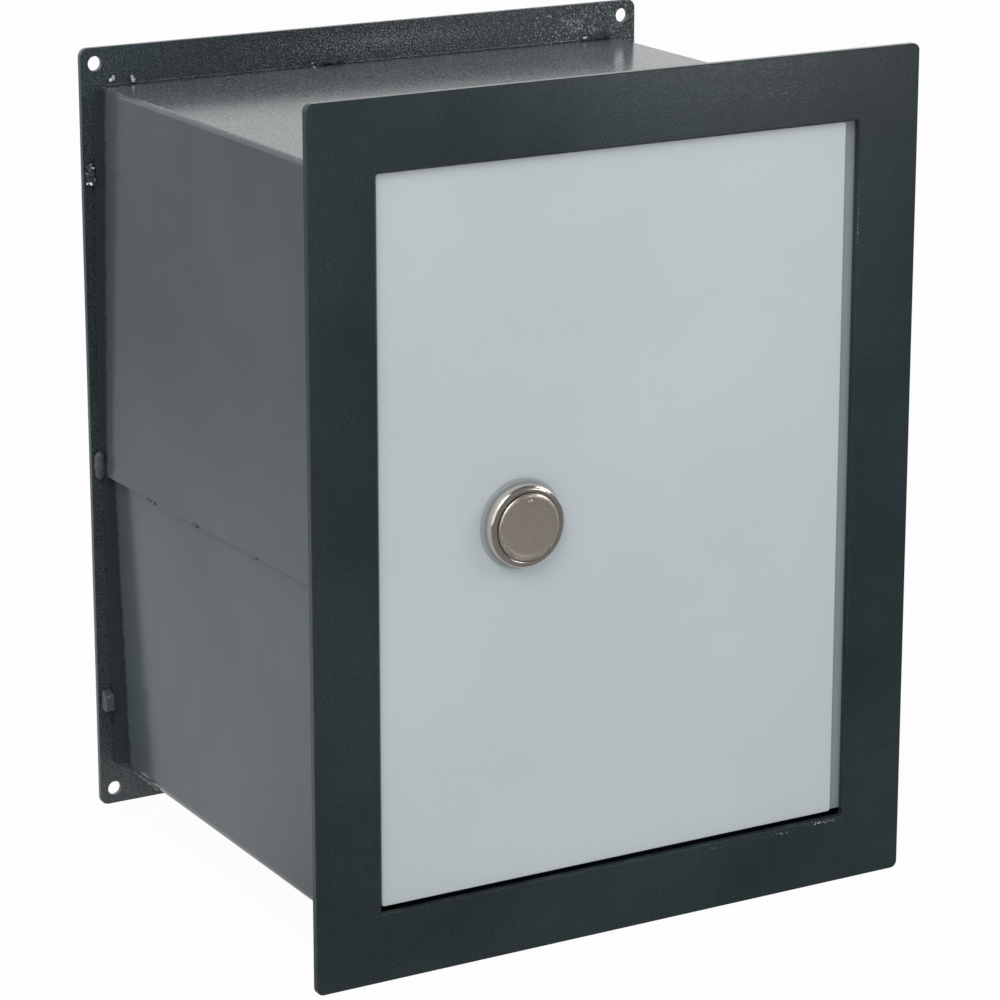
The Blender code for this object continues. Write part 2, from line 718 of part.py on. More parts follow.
def tooth_shape(pitch_line):
    """One tooth as (place along the pitch line, height) from root to root.

    The pitch line is the length that the tooth is repeated along.
    """
    return [
        (-TOOTH_ROOT_SHARE * pitch_line / 2, -DEDENDUM),
        (-TOOTH_PITCH_SHARE * pitch_line / 2, 0),
        (-TOOTH_TIP_SHARE * pitch_line / 2, ADDENDUM),
        (TOOTH_TIP_SHARE * pitch_line / 2, ADDENDUM),
        (TOOTH_PITCH_SHARE * pitch_line / 2, 0),
        (TOOTH_ROOT_SHARE * pitch_line / 2, -DEDENDUM),
    ]


def make_carriage(look):
    """The upright bar that carries the bolts, with the rack on an arm towards the lock."""
    reach = BOLT_SPREAD + CARRIAGE_OVERLAP
    rack_end = LOCK_X + RACK_RUNOUT
    root = RACK_TOP - DEDENDUM
    foot = root - RACK_DEPTH
    outline = [
        (CARRIAGE_LEFT, LOCK_Z + reach),
        (CARRIAGE_LEFT, LOCK_Z - reach),
        (CARRIAGE_RIGHT, LOCK_Z - reach),
        (CARRIAGE_RIGHT, foot),
        (rack_end + BOLT_THROW, foot),
        (rack_end + BOLT_THROW, root),
    ]
    # Teeth run from the right to the left, one of them below the pinion's middle
    last = math.floor((rack_end + BOLT_THROW - LOCK_X) / PITCH - TOOTH_ROOT_SHARE)
    first = -math.floor(RACK_RUNOUT / PITCH)
    for tooth in range(last, first - 1, -1):
        for along, height in reversed(tooth_shape(PITCH)):
            outline.append((LOCK_X + tooth * PITCH + along, RACK_TOP + height))
    outline += [(CARRIAGE_RIGHT, root), (CARRIAGE_RIGHT, LOCK_Z + reach)]
    low = BOLT_Y - CARRIAGE_DEPTH / 2
    return make_object("bolt_carriage", extrusion(outline, "Y", low, low + CARRIAGE_DEPTH), look)


def make_pinion(look):
    """The pinion, with a gap between teeth over the rack's middle tooth."""
    outline = []
    for tooth in range(PINION_TEETH):
        middle = -math.pi / 2 + 2 * math.pi * (tooth + 1 / 2) / PINION_TEETH
        for along, height in tooth_shape(PITCH):
            angle = middle + along / PITCH_RADIUS
            radius = PITCH_RADIUS + height
            outline.append((LOCK_X + radius * math.cos(angle), LOCK_Z + radius * math.sin(angle)))
    pinion = make_object(
        "drive_pinion", extrusion(outline, "Y", PINION_FRONT_Y, PINION_BACK_Y), look
    )
    bore = rod(
        SPINDLE_RADIUS + SEAT_GAP,
        "Y",
        (LOCK_X, 0, LOCK_Z),
        PINION_FRONT_Y - CUT_OVERRUN,
        PINION_BACK_Y + CUT_OVERRUN,
        SMALL_STEPS,
    )
    return combine(pinion, bore)


def make_rack_guide(look):
    """A channel on the door plate that the rack arm slides in, clear of the bolt's throw."""
    root = RACK_TOP - DEDENDUM
    foot = root - RACK_DEPTH
    back = BOLT_Y + CARRIAGE_DEPTH / 2 + RUN_GAP + RACK_GUIDE_WALL
    lip = root - RACK_DEPTH / 2
    slot_bottom = foot - RUN_GAP
    outline = [
        (WORK_Y, slot_bottom - RACK_GUIDE_WALL),
        (back, slot_bottom - RACK_GUIDE_WALL),
        (back, lip),
        (back - RACK_GUIDE_WALL, lip),
        (back - RACK_GUIDE_WALL, slot_bottom),
        (WORK_Y, slot_bottom),
    ]
    left = CARRIAGE_RIGHT + RACK_GUIDE_GAP
    return make_object(
        "rack_guide", extrusion(outline, "X", left, left + RACK_GUIDE_LENGTH), look
    )


def make_keeper(look):
    """The angle behind the frame that the bolts enter."""
    half = BOLT_SPREAD + KEEPER_OVERLAP
    front = FRAME_BACK_Y + SEAT_GAP
    outline = [
        (KEEPER_RIGHT, front),
        (KEEPER_RIGHT, KEEPER_BACK_Y),
        (KEEPER_LEFT, KEEPER_BACK_Y),
        (KEEPER_LEFT, front + KEEPER),
        (-LOWER_X + SHEET + SEAT_GAP, front + KEEPER),
        (-LOWER_X + SHEET + SEAT_GAP, front),
    ]
    keeper = make_object(
        "bolt_keeper", extrusion(outline, "Z", LOCK_Z - half, LOCK_Z + half), look
    )
    for z in bolt_places():
        hole = rod(
            BOLT_RADIUS + KEEPER_HOLE_GAP,
            "X",
            (0, BOLT_Y, z),
            KEEPER_LEFT - CUT_OVERRUN,
            KEEPER_RIGHT + CUT_OVERRUN,
            SMALL_STEPS,
        )
        combine(keeper, hole)
    return keeper


def make_stop(name, z, look):
    """A block on the keeper that the door's rim closes against."""
    front = WORK_Y + RIM_DEPTH + STOP_GAP
    low = (KEEPER_RIGHT + SEAT_GAP, front, z - STOP_HEIGHT / 2)
    high = (KEEPER_RIGHT + STOP_REACH, front + STOP_DEPTH, z + STOP_HEIGHT / 2)
    return make_object(name, box_builder(low, high), look)


def make_washer(look):
    """The flat ring under the rosette."""
    profile = [
        (LOCK_HOLE_RADIUS, WASHER_BACK_Y),
        (WASHER_RADIUS, WASHER_BACK_Y),
        (WASHER_RADIUS - WASHER / 2, WASHER_FRONT_Y),
        (LOCK_HOLE_RADIUS, WASHER_FRONT_Y),
    ]
    return make_object("lock_washer", turned(profile, "Y", (LOCK_X, 0, LOCK_Z)), look, True)


def make_rosette(look):
    """The rosette round the lock body, with a blind seat for the cover's rivet.

    Its shoulder is a quarter of an ellipse, from the upright side to the flat front.
    """
    shoulder_y = ROSETTE_BACK_Y - ROSETTE_SIDE
    profile = [(LOCK_HOLE_RADIUS, ROSETTE_BACK_Y), (ROSETTE_RADIUS, ROSETTE_BACK_Y)]
    for step in range(BEND_STEPS + 1):
        angle = QUARTER_TURN * step / BEND_STEPS
        radius = ROSETTE_FLAT_RADIUS + (ROSETTE_RADIUS - ROSETTE_FLAT_RADIUS) * math.cos(angle)
        profile.append((radius, shoulder_y + (ROSETTE_FRONT_Y - shoulder_y) * math.sin(angle)))
    profile.append((LOCK_HOLE_RADIUS, ROSETTE_FRONT_Y))
    rosette = make_object("lock_rosette", turned(profile, "Y", (LOCK_X, 0, LOCK_Z)), look, True)
    seat = rod(
        RIVET_RADIUS + SEAT_GAP,
        "Y",
        (LOCK_X, 0, RIVET_Z),
        ROSETTE_FRONT_Y - CUT_OVERRUN,
        ROSETTE_FRONT_Y + RIVET_SEAT + SEAT_GAP,
        SMALL_STEPS,
    )
    return combine(rosette, seat)


def make_lock_body(look):
    """The fixed barrel of the lock."""
    inner = PLUG_RADIUS + RUN_GAP
    profile = [
        (inner, LOCK_FRONT_Y),
        (LOCK_BODY_RADIUS, LOCK_FRONT_Y),
        (LOCK_BODY_RADIUS, LOCK_BACK_Y),
        (inner, LOCK_BACK_Y),
    ]
    return make_object("lock_body", turned(profile, "Y", (LOCK_X, 0, LOCK_Z)), look, True)


def make_plug(look):
    """The turning plug with its keyway and the spindle for the pinion."""
    profile = [
        (0, LOCK_FRONT_Y),
        (PLUG_RADIUS, LOCK_FRONT_Y),
        (PLUG_RADIUS, LOCK_BACK_Y),
        (SPINDLE_RADIUS, LOCK_BACK_Y),
        (SPINDLE_RADIUS, PINION_BACK_Y + SEAT_GAP),
        (0, PINION_BACK_Y + SEAT_GAP),
    ]
    plug = make_object("lock_plug", turned(profile, "Y", (LOCK_X, 0, LOCK_Z)), look, True)
    low = (LOCK_X - KEYWAY_WIDTH / 2, LOCK_FRONT_Y - CUT_OVERRUN, LOCK_Z - KEYWAY_HEIGHT / 2)
    high = (LOCK_X + KEYWAY_WIDTH / 2, LOCK_FRONT_Y + KEYWAY_DEPTH, LOCK_Z + KEYWAY_HEIGHT / 2)
    return combine(plug, box_builder(low, high))


def make_lock_nut(look):
    """The nut that clamps the lock body from inside the door."""
    hexagon = []
    for corner in range(LOCK_NUT_SIDES):
        angle = 2 * math.pi * corner / LOCK_NUT_SIDES
        hexagon.append(
            (LOCK_X + LOCK_NUT_RADIUS * math.cos(angle), LOCK_Z + LOCK_NUT_RADIUS * math.sin(angle))
        )
    nut = make_object("lock_nut", extrusion(hexagon, "Y", WORK_Y, WORK_Y + LOCK_NUT), look)
    bore = rod(
        LOCK_HOLE_RADIUS,
        "Y",
        (LOCK_X, 0, LOCK_Z),
        WORK_Y - CUT_OVERRUN,
        WORK_Y + LOCK_NUT + CUT_OVERRUN,
    )
    return combine(nut, bore)


def make_key_cover(look):
    """The disc that hangs over the keyhole from a rivet near its top."""
    profile = [
        (0, COVER_BACK_Y),
        (COVER_RADIUS, COVER_BACK_Y),
        (COVER_RADIUS, COVER_FRONT_Y + COVER_EDGE),
        (COVER_RADIUS - COVER_EDGE, COVER_FRONT_Y),
        (0, COVER_FRONT_Y),
    ]
    cover = make_object("key_cover", turned(profile, "Y", (LOCK_X, 0, LOCK_Z)), look, True)
    hole = rod(
        RIVET_RADIUS + RUN_GAP,
        "Y",
        (LOCK_X, 0, RIVET_Z),
        COVER_FRONT_Y - CUT_OVERRUN,
        COVER_BACK_Y + CUT_OVERRUN,
        SMALL_STEPS,
    )
    return combine(cover, hole)


def make_rivet(look):
    """The rivet that the cover swings on."""
    head = COVER_FRONT_Y - RUN_GAP
    profile = [
        (0, head - RIVET_HEAD),
        (RIVET_HEAD_RADIUS - RIVET_HEAD / 2, head - RIVET_HEAD),
        (RIVET_HEAD_RADIUS, head - RIVET_HEAD / 2),
        (RIVET_HEAD_RADIUS, head),
        (RIVET_RADIUS, head),
        (RIVET_RADIUS, ROSETTE_FRONT_Y + RIVET_SEAT),
        (0, ROSETTE_FRONT_Y + RIVET_SEAT),
    ]
    return make_object(
        "cover_rivet", turned(profile, "Y", (LOCK_X, 0, RIVET_Z), SMALL_STEPS), look, True
    )


def make_pan(look):
    """The pressed pan over the bolt work, flanged at its top and foot."""
    shell = rounded_box(PAN_LEFT, PAN_RIGHT, -PAN_HALF_HEIGHT, PAN_HALF_HEIGHT, PAN_CORNER)
    pan = make_object("inner_cover", extrusion(shell, "Y", WORK_Y, PAN_BACK_Y), look)
    flange = box_builder(
        (PAN_LEFT, WORK_Y, -PAN_HALF_HEIGHT - PAN_FLANGE),
        (PAN_RIGHT, WORK_Y + PAN, PAN_HALF_HEIGHT + PAN_FLANGE),
    )
    combine(pan, flange, "UNION")
    hollow = rounded_box(
        PAN_LEFT + PAN,
        PAN_RIGHT - PAN,
        -PAN_HALF_HEIGHT + PAN,
        PAN_HALF_HEIGHT - PAN,
        PAN_CORNER - PAN,
    )
    combine(pan, extrusion(hollow, "Y", WORK_Y - CUT_OVERRUN, PAN_BACK_Y - PAN))
    # The lock side stands clear of the bolts
    for z in bolt_places():
        slot = rod(
            BOLT_RADIUS + KEEPER_HOLE_GAP,
            "X",
            (0, BOLT_Y, z),
            PAN_LEFT - CUT_OVERRUN,
            PAN_LEFT + PAN + CUT_OVERRUN,
            SMALL_STEPS,
        )
        combine(pan, slot)
    for x, z in screw_places():
        hole = rod(
            SCREW_RADIUS + SEAT_GAP,
            "Y",
            (x, 0, z),
            WORK_Y - CUT_OVERRUN,
            WORK_Y + PAN + CUT_OVERRUN,
            SMALL_STEPS,
        )
        combine(pan, hole)
    return pan


def make_screw(name, x, z, look):
    """A slotted screw through the pan's flange into the door plate."""
    seat = WORK_Y + PAN + SEAT_GAP
    profile = [
        (0, PLATE_FRONT_Y),
        (SCREW_RADIUS, PLATE_FRONT_Y),
        (SCREW_RADIUS, seat),
        (SCREW_HEAD_RADIUS, seat),
        (SCREW_HEAD_RADIUS, seat + SCREW_HEAD / 2),
        (SCREW_HEAD_RADIUS - SCREW_HEAD / 2, seat + SCREW_HEAD),
        (0, seat + SCREW_HEAD),
    ]
    screw = make_object(name, turned(profile, "Y", (x, 0, z), SMALL_STEPS), look, True)
    slot = box_builder(
        (x - SCREW_HEAD_RADIUS - CUT_OVERRUN, seat + SCREW_HEAD - SCREW_SLOT_DEPTH, z - SCREW_SLOT / 2),
        (x + SCREW_HEAD_RADIUS + CUT_OVERRUN, seat + SCREW_HEAD + CUT_OVERRUN, z + SCREW_SLOT / 2),
    )
    return combine(screw, slot)


def make_body():
    """Everything that stays with the wall."""
    make_front_frame(DARK_PAINT)
    make_rear_plate(DARK_PAINT)
    make_upper_shell(BODY_PAINT)
    make_lower_shell(BODY_PAINT)
    make_hinge_bracket("hinge_bracket_upper", HINGE_SPREAD, upper_form(), DARK_PAINT)
    make_hinge_bracket("hinge_bracket_lower", -HINGE_SPREAD, lower_form(), DARK_PAINT)
    make_keeper(DARK_PAINT)
    make_stop("door_stop_upper", STOP_SPREAD, DARK_PAINT)
    make_stop("door_stop_lower", -STOP_SPREAD, DARK_PAINT)


def make_door():
    """Everything that turns with the door, as a list."""
    things = [
        make_door_skin(DOOR_PAINT),
        make_door_plate(MID_PAINT),
        make_door_rim(MID_PAINT),
        make_washer(DOOR_PAINT),
        make_rosette(NICKEL),
        make_lock_body(BRASS),
        make_lock_nut(STEEL),
        make_rivet(NICKEL),
        make_rack_guide(STEEL),
        make_pan(MID_PAINT),
    ]
    for name, side in (("upper", 1), ("lower", -1)):
        things.append(make_knuckle(f"hinge_knuckle_{name}", side * HINGE_SPREAD, MID_PAINT))
        things.append(make_pin(f"hinge_pin_{name}", side * HINGE_SPREAD, STEEL))
    for number, (x, z) in enumerate(screw_places(), 1):
        things.append(make_screw(f"cover_screw_{number}", x, z, STEEL))
    return things


def make_bolt_work():
    """The carriage and its bolts, as a list."""
    things = [make_carriage(STEEL)]
    for name, z in zip(("upper", "middle", "lower"), bolt_places()):
        things.append(make_bolt(f"bolt_{name}", z, STEEL))
    return things


def main():
    """Builds the safe."""
    clear_scene()
    make_body()
    door_axis = add_axis("door_axis", (AXIS_X, AXIS_Y, 0))
    bolt_axis = add_axis("bolt_axis", (CARRIAGE_LEFT, BOLT_Y, LOCK_Z), door_axis)
    plug_axis = add_axis("plug_axis", (LOCK_X, BOLT_Y, LOCK_Z), door_axis)
    cover_axis = add_axis("cover_axis", (LOCK_X, COVER_BACK_Y, RIVET_Z), door_axis)
    hang(door_axis, *make_door())
    hang(bolt_axis, *make_bolt_work())
    hang(plug_axis, make_plug(NICKEL), make_pinion(BRASS))
    hang(cover_axis, make_key_cover(NICKEL))


main()
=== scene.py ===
"""Looks of the key-operated wall safe: fine meshes, finishes, light and camera.

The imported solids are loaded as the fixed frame, in metres, front towards -Y. Each
sub-assembly is a class that holds its sizes in millimetres, builds its meshes and
dresses them.
"""

import logging
import math
from dataclasses import dataclass
from enum import Enum
from typing import Iterable, Optional, Sequence, Union

import bmesh
import bpy
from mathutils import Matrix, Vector, noise


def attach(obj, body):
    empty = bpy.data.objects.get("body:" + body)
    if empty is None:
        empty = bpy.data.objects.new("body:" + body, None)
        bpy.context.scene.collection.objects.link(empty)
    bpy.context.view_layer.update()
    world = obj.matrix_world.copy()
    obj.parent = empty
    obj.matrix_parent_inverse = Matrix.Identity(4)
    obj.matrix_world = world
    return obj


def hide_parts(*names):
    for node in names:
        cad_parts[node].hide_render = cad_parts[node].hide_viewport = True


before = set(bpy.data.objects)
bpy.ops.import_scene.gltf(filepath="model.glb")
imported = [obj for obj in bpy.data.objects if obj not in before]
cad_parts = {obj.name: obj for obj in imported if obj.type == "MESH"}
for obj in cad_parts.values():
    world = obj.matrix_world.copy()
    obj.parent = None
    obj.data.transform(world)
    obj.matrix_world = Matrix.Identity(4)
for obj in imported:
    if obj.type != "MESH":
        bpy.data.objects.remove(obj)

LOG = logging.getLogger("wall_safe")
MM = 0.001
FULL_TURN = 2.0 * math.pi
QUARTER_TURN = math.radians(90.0)
SMOOTH_ANGLE = math.radians(32.0)
FLAT_ANGLE = math.radians(0.3)
MERGE_DISTANCE = 0.001 * MM
TURNED_MERGE_DISTANCE = 0.0005 * MM
ORIGIN = (0.0, 0.0, 0.0)
WHITE = (1.0, 1.0, 1.0)

Colour = tuple[float, float, float]
Point = tuple[float, float, float]
Pair = tuple[float, float]


class Body(str, Enum):
    """The bodies that pieces ride on."""

    SAFE = "safe_body"
    DOOR = "door"
    BOLTS = "bolt_work"
    PLUG = "plug"
    COVER = "keyhole_cover"


class Slot(str, Enum):
    """The record's material slots."""

    DARK = "dark_paint"
    GREY = "body_paint"
    PALE = "door_paint"
    MID = "mid_paint"
    STEEL = "steel"
    NICKEL = "nickel"
    BRASS = "brass"


class Axis(int, Enum):
    """A direction of the row frame."""

    X = 0
    Y = 1


def metres(values: Iterable[float]) -> tuple[float, ...]:
    """Turns millimetres into metres."""
    return tuple(value * MM for value in values)


def tone(*channels: float) -> Colour:
    """Turns a screen colour of 0 to 255 a channel into a linear one, by the usual curve.

    Args:
        channels: red, green and blue on the screen.

    Returns:
        The linear colour.
    """
    shares = [channel / 255.0 for channel in channels]
    return tuple(s / 12.92 if s <= 0.04045 else ((s + 0.055) / 1.055) ** 2.4 for s in shares)


def put(name: str, data: bpy.types.ID) -> bpy.types.Object:
    """Makes an object of a mesh, lamp or camera and links it to the scene.

    Args:
        name: the object's name.
        data: what it shows.

    Returns:
        The object.
    """
    thing = bpy.data.objects.new(name, data)
    bpy.context.scene.collection.objects.link(thing)
    return thing


# Node trees


class Value:
    """A node's output, on which plain sums add nodes."""

    def __init__(self, graph: "Graph", socket: bpy.types.NodeSocket) -> None:
        """Keeps the output and its graph."""
        self.graph = graph
        self.socket = socket

    def __add__(self, other: "Input") -> "Value":
        """Adds a value to this one."""
        return self.graph.math("ADD", self, other)

    def __sub__(self, other: "Input") -> "Value":
        """Takes a value from this one."""
        return self.graph.math("SUBTRACT", self, other)

    def __rsub__(self, other: "Input") -> "Value":
        """Takes this value from another."""
        return self.graph.math("SUBTRACT", other, self)

    def __mul__(self, other: "Input") -> "Value":
        """Multiplies this value by another."""
        return self.graph.math("MULTIPLY", self, other)


Input = Union[float, Sequence[float], Value]
Inputs = dict[Union[str, int], Input]


class Graph:
    """A node tree with short calls for adding nodes and joining them."""

    def __init__(self, tree: bpy.types.NodeTree) -> None:
        """Keeps the tree that nodes are added to."""
        self.tree = tree

    @classmethod
    def of(cls, owner: Union[bpy.types.Material, bpy.types.World]) -> "Graph":
        """Gives a material or a world an empty tree.

        Args:
            owner: the material or world.

        Returns:
            The tree's graph.
        """
        owner.use_nodes = True
        owner.node_tree.nodes.clear()
        return cls(owner.node_tree)

    def add(self, kind: str, inputs: Optional[Inputs] = None,
            **settings: object) -> bpy.types.Node:
        """Adds one node.

        Args:
            kind: the node's type name.
            inputs: values and outputs by input name or index.
            settings: the node's attributes.

        Returns:
            The node.
        """
        node = self.tree.nodes.new(kind)
        for name, setting in settings.items():
            setattr(node, name, setting)
        for key, value in (inputs or {}).items():
            self.feed(node.inputs[key], value)
        return node

    def feed(self, socket: bpy.types.NodeSocket, value: Input) -> None:
        """Links an output to an input, or sets a plain value on it.

        Args:
            socket: the input.
            value: an output, a number, a vector or a colour.
        """
        if isinstance(value, Value):
            self.tree.links.new(value.socket, socket)
        else:
            socket.default_value = (*value, 1.0) if socket.type == "RGBA" else value

    def value(self, kind: str, output: Union[str, int], inputs: Optional[Inputs] = None,
              **settings: object) -> Value:
        """Adds one node and gives the named one of its outputs."""
        return Value(self, self.add(kind, inputs, **settings).outputs[output])

    def math(self, operation: str, first: Input, second: Input = 0.0,
             clamp: bool = False) -> Value:
        """Adds one sum of two numbers, if asked kept between 0 and 1."""
        return self.value("ShaderNodeMath", 0, {0: first, 1: second}, operation=operation,
                          use_clamp=clamp)

    def vector(self, operation: str, first: Input, second: Input = ORIGIN) -> Value:
        """Adds one vector sum, whose result may be a number."""
        output = 1 if operation in ("LENGTH", "DOT_PRODUCT") else 0
        return self.value("ShaderNodeVectorMath", output, {0: first, 1: second},
                          operation=operation)

    def scaled(self, first: Input, scale: Input) -> Value:
        """Multiplies a vector or a colour by a number."""
        return self.value("ShaderNodeVectorMath", 0, {0: first, "Scale": scale},
                          operation="SCALE")

    def spread(self, value: Input, low: Input, high: Input, to_low: Input = 0.0,
               to_high: Input = 1.0, soft: bool = True) -> Value:
        """Maps a range of values onto another, held at its ends.

        Args:
            value: the value to map.
            low: the start of its range.
            high: the end of its range.
            to_low: the result at the start.
            to_high: the result at the end.
            soft: eases in and out at the ends.

        Returns:
            The result.
        """
        return self.value("ShaderNodeMapRange", 0,
                          {"Value": value, "From Min": low, "From Max": high,
                           "To Min": to_low, "To Max": to_high},
                          interpolation_type="SMOOTHSTEP" if soft else "LINEAR")

    def blend(self, share: Input, first: Input, second: Input) -> Value:
        """Mixes two colours, where a share of 0 gives the first and 1 the second."""
        return self.value("ShaderNodeMix", 2, {0: share, 6: first, 7: second},
                          data_type="RGBA", clamp_factor=True)

    def cloud(self, place: Input, scale: Input, detail: float = 3.0,
              roughness: float = 0.55) -> Value:
        """Adds soft noise.

        Args:
            place: the coordinates.
            scale: cells per metre.
            detail: how many finer layers it has.
            roughness: how strong the finer layers are.

        Returns:
            The noise value.
        """
        return self.value("ShaderNodeTexNoise", 0, {"Vector": place, "Scale": scale,
                                                    "Detail": detail, "Roughness": roughness})


class Effect(str, Enum):
    """The effects that materials share, each by its builder's name in the library."""

    HAMMER = "hammer_grain"
    DRIFT = "tone_drift"
    EDGE = "edge_rub_and_highlight"
    LINES = "tool_lines"
    RINGS = "turning_rings"
    SPOT = "spot_mark"
    DUST = "settled_dust"


class EffectLibrary:
    """Builds each shared effect once, as a node group."""

    def __init__(self) -> None:
        """Starts with no group made."""
        self.made: dict[Effect, bpy.types.NodeTree] = {}

    @staticmethod
    def label(name: str) -> str:
        """The socket's name for a value's name."""
        return name.replace("_", " ").title()

    def place(self, graph: Graph, effect: Effect, **inputs: Input) -> dict[str, Value]:
        """Puts a shared effect into a material.

        Args:
            graph: the material's graph.
            effect: the effect.
            inputs: its values.

        Returns:
            Its outputs by name.
        """
        if effect not in self.made:
            getattr(self, effect.value)()
        node = graph.add("ShaderNodeGroup",
                         {self.label(name): value for name, value in inputs.items()},
                         node_tree=self.made[effect])
        return {socket.name: Value(graph, socket) for socket in node.outputs}

    def open(self, effect: Effect, **inputs: Input) -> tuple[Graph, list[Value]]:
        """Starts a group, whose first input is the place on the surface.

        Args:
            effect: names the group.
            inputs: its other inputs with their usual values.

        Returns:
            The group's graph, and its inputs in order.
        """
        tree = bpy.data.node_groups.new(effect.value, "ShaderNodeTree")
        self.made[effect] = tree
        usual = {"vector": ORIGIN, **inputs}
        for name, value in usual.items():
            kind = "NodeSocketFloat" if isinstance(value, float) else "NodeSocketVector"
            socket = tree.interface.new_socket(self.label(name), in_out="INPUT",
                                               socket_type=kind)
            socket.default_value = value
        graph = Graph(tree)
        given = graph.add("NodeGroupInput")
        return graph, [Value(graph, given.outputs[self.label(name)]) for name in usual]

    def close(self, graph: Graph, **results: Value) -> None:
        """Ends a group with its named outputs.

        Args:
            graph: the group's graph.
            results: its outputs.
        """
        named = {self.label(name): value for name, value in results.items()}
        for name in named:
            graph.tree.interface.new_socket(name, in_out="OUTPUT",
                                            socket_type="NodeSocketFloat")
        graph.add("NodeGroupOutput", named)

    def hammer_grain(self) -> None:
        """Fine dimples of hammered paint, with the flecks that catch the light."""
        graph, (vector, cells, share) = self.open(Effect.HAMMER, cells=700.0,
                                                  fleck_share=0.35)
        cell = graph.value("ShaderNodeTexVoronoi", "Distance",
                           {"Vector": vector, "Scale": cells, "Smoothness": 0.6},
                           feature="SMOOTH_F1")
        fine = graph.cloud(vector, cells * 1.3, 3.0, 0.7)
        height = graph.spread(cell, 0.1, 0.7) * 0.5 + fine * 0.5
        least = 0.8 - share * 0.5
        self.close(graph, height=height, fleck=graph.spread(height, least, least + 0.12))

    def tone_drift(self) -> None:
        """Slow, cloudy change of tone over a sprayed or rolled surface."""
        graph, (vector, scale, low, high) = self.open(Effect.DRIFT, scale=9.0, low=0.0,
                                                      high=1.0)
        slow = graph.cloud(vector, scale, 4.0)
        speck = graph.cloud(vector, 900.0, 1.0)
        self.close(graph, value=graph.spread(slow, 0.32, 0.68, low, high),
                   speck=graph.spread(speck, 0.62, 0.76))

    def edge_rub_and_highlight(self) -> None:
        """A mask of the edges, broken up, where a finish has rubbed thin and where a painted
        highlight runs along them.
        """
        graph, (vector, reach, breaks, amount) = self.open(
            Effect.EDGE, reach=0.6 * MM, breaks=160.0, amount=1.0)
        rounded = graph.value("ShaderNodeBevel", 0, {"Radius": reach}, samples=4)
        flat = graph.value("ShaderNodeNewGeometry", "Normal")
        edge = graph.spread(graph.vector("DOT_PRODUCT", rounded, flat), 0.995, 0.86)
        broken = graph.spread(graph.cloud(vector, breaks), 0.38, 0.62, 0.25, 1.0)
        self.close(graph, mask=graph.math("MULTIPLY", edge * broken, amount, clamp=True))

    def tool_lines(self) -> None:
        """Fine straight lines left by rolling, drawing or brushing."""
        graph, (vector, stretch, scale) = self.open(
            Effect.LINES, stretch=(1.0, 1.0, 0.04), scale=1800.0)
        drawn = graph.vector("MULTIPLY", vector, stretch)
        fine = graph.cloud(drawn, scale, 3.0, 0.7)
        wide = graph.cloud(drawn, scale * 0.12, 2.0)
        self.close(graph, height=fine,
                   streak=graph.spread(fine * 0.5 + wide * 0.5, 0.38, 0.62))

    def turning_rings(self) -> None:
        """Rings left by a turning tool about a centre, in the plane that is kept."""
        graph, (vector, centre, plane, pitch) = self.open(
            Effect.RINGS, centre=ORIGIN, plane=(1.0, 0.0, 1.0), pitch=2600.0)
        flat = graph.vector("MULTIPLY", graph.vector("SUBTRACT", vector, centre), plane)
        along = graph.value("ShaderNodeCombineXYZ", 0, {0: graph.vector("LENGTH", flat)})
        place = graph.vector("ADD", along, graph.scaled(flat, 0.012))
        wide = graph.cloud(place, pitch * 0.15, 2.0)
        self.close(graph, height=graph.cloud(place, pitch, 2.0, 0.65),
                   streak=graph.spread(wide, 0.35, 0.65))

    def spot_mark(self) -> None:
        """A mask of one rough-edged spot at a place on the object."""
        graph, (vector, place, half_size, breaks, ragged, thin) = self.open(
            Effect.SPOT, place=ORIGIN, half_size=(0.01, 0.01, 0.01), breaks=900.0,
            ragged=0.6, thin=0.0)
        offset = graph.vector("SUBTRACT", vector, place)
        reach = graph.vector("LENGTH", graph.vector("DIVIDE", offset, half_size))
        rough = (graph.cloud(vector, breaks) - 0.5) * ragged
        self.close(graph, mask=graph.spread(reach + rough * 4.0 + thin, 1.0, 0.7))

    def settled_dust(self) -> None:
        """Thin dust on faces that look up, thicker in patches."""
        graph, (vector, amount) = self.open(Effect.DUST, amount=0.2)
        normal = graph.value("ShaderNodeNewGeometry", "Normal")
        up = graph.value("ShaderNodeSeparateXYZ", 2, {0: normal})
        patches = graph.spread(graph.cloud(vector, 60.0, 5.0), 0.4, 0.7)
        self.close(graph, mask=graph.spread(up, 0.5, 0.95) * patches * amount)


EFFECTS = EffectLibrary()


# Finishes


@dataclass(frozen=True)
class Mark:
    """A spot where a finish is worn, lighter or darker, or carries a painted highlight, in
    millimetres.
    """

    place: Point
    half_size: Point
    colour: Colour
    strength: float = 1.0
    ragged: float = 0.5
    breaks: float = 900.0
    thin: float = 0.0


@dataclass(frozen=True)
class Finish:
    """A surface finish that turns into one material."""

    name: str
    colour: Colour
    roughness: float
    metallic: float = 0.0
    specular: float = 0.5
    slot: Slot = Slot.DARK

    def material(self) -> bpy.types.Material:
        """Builds the material."""
        raise NotImplementedError


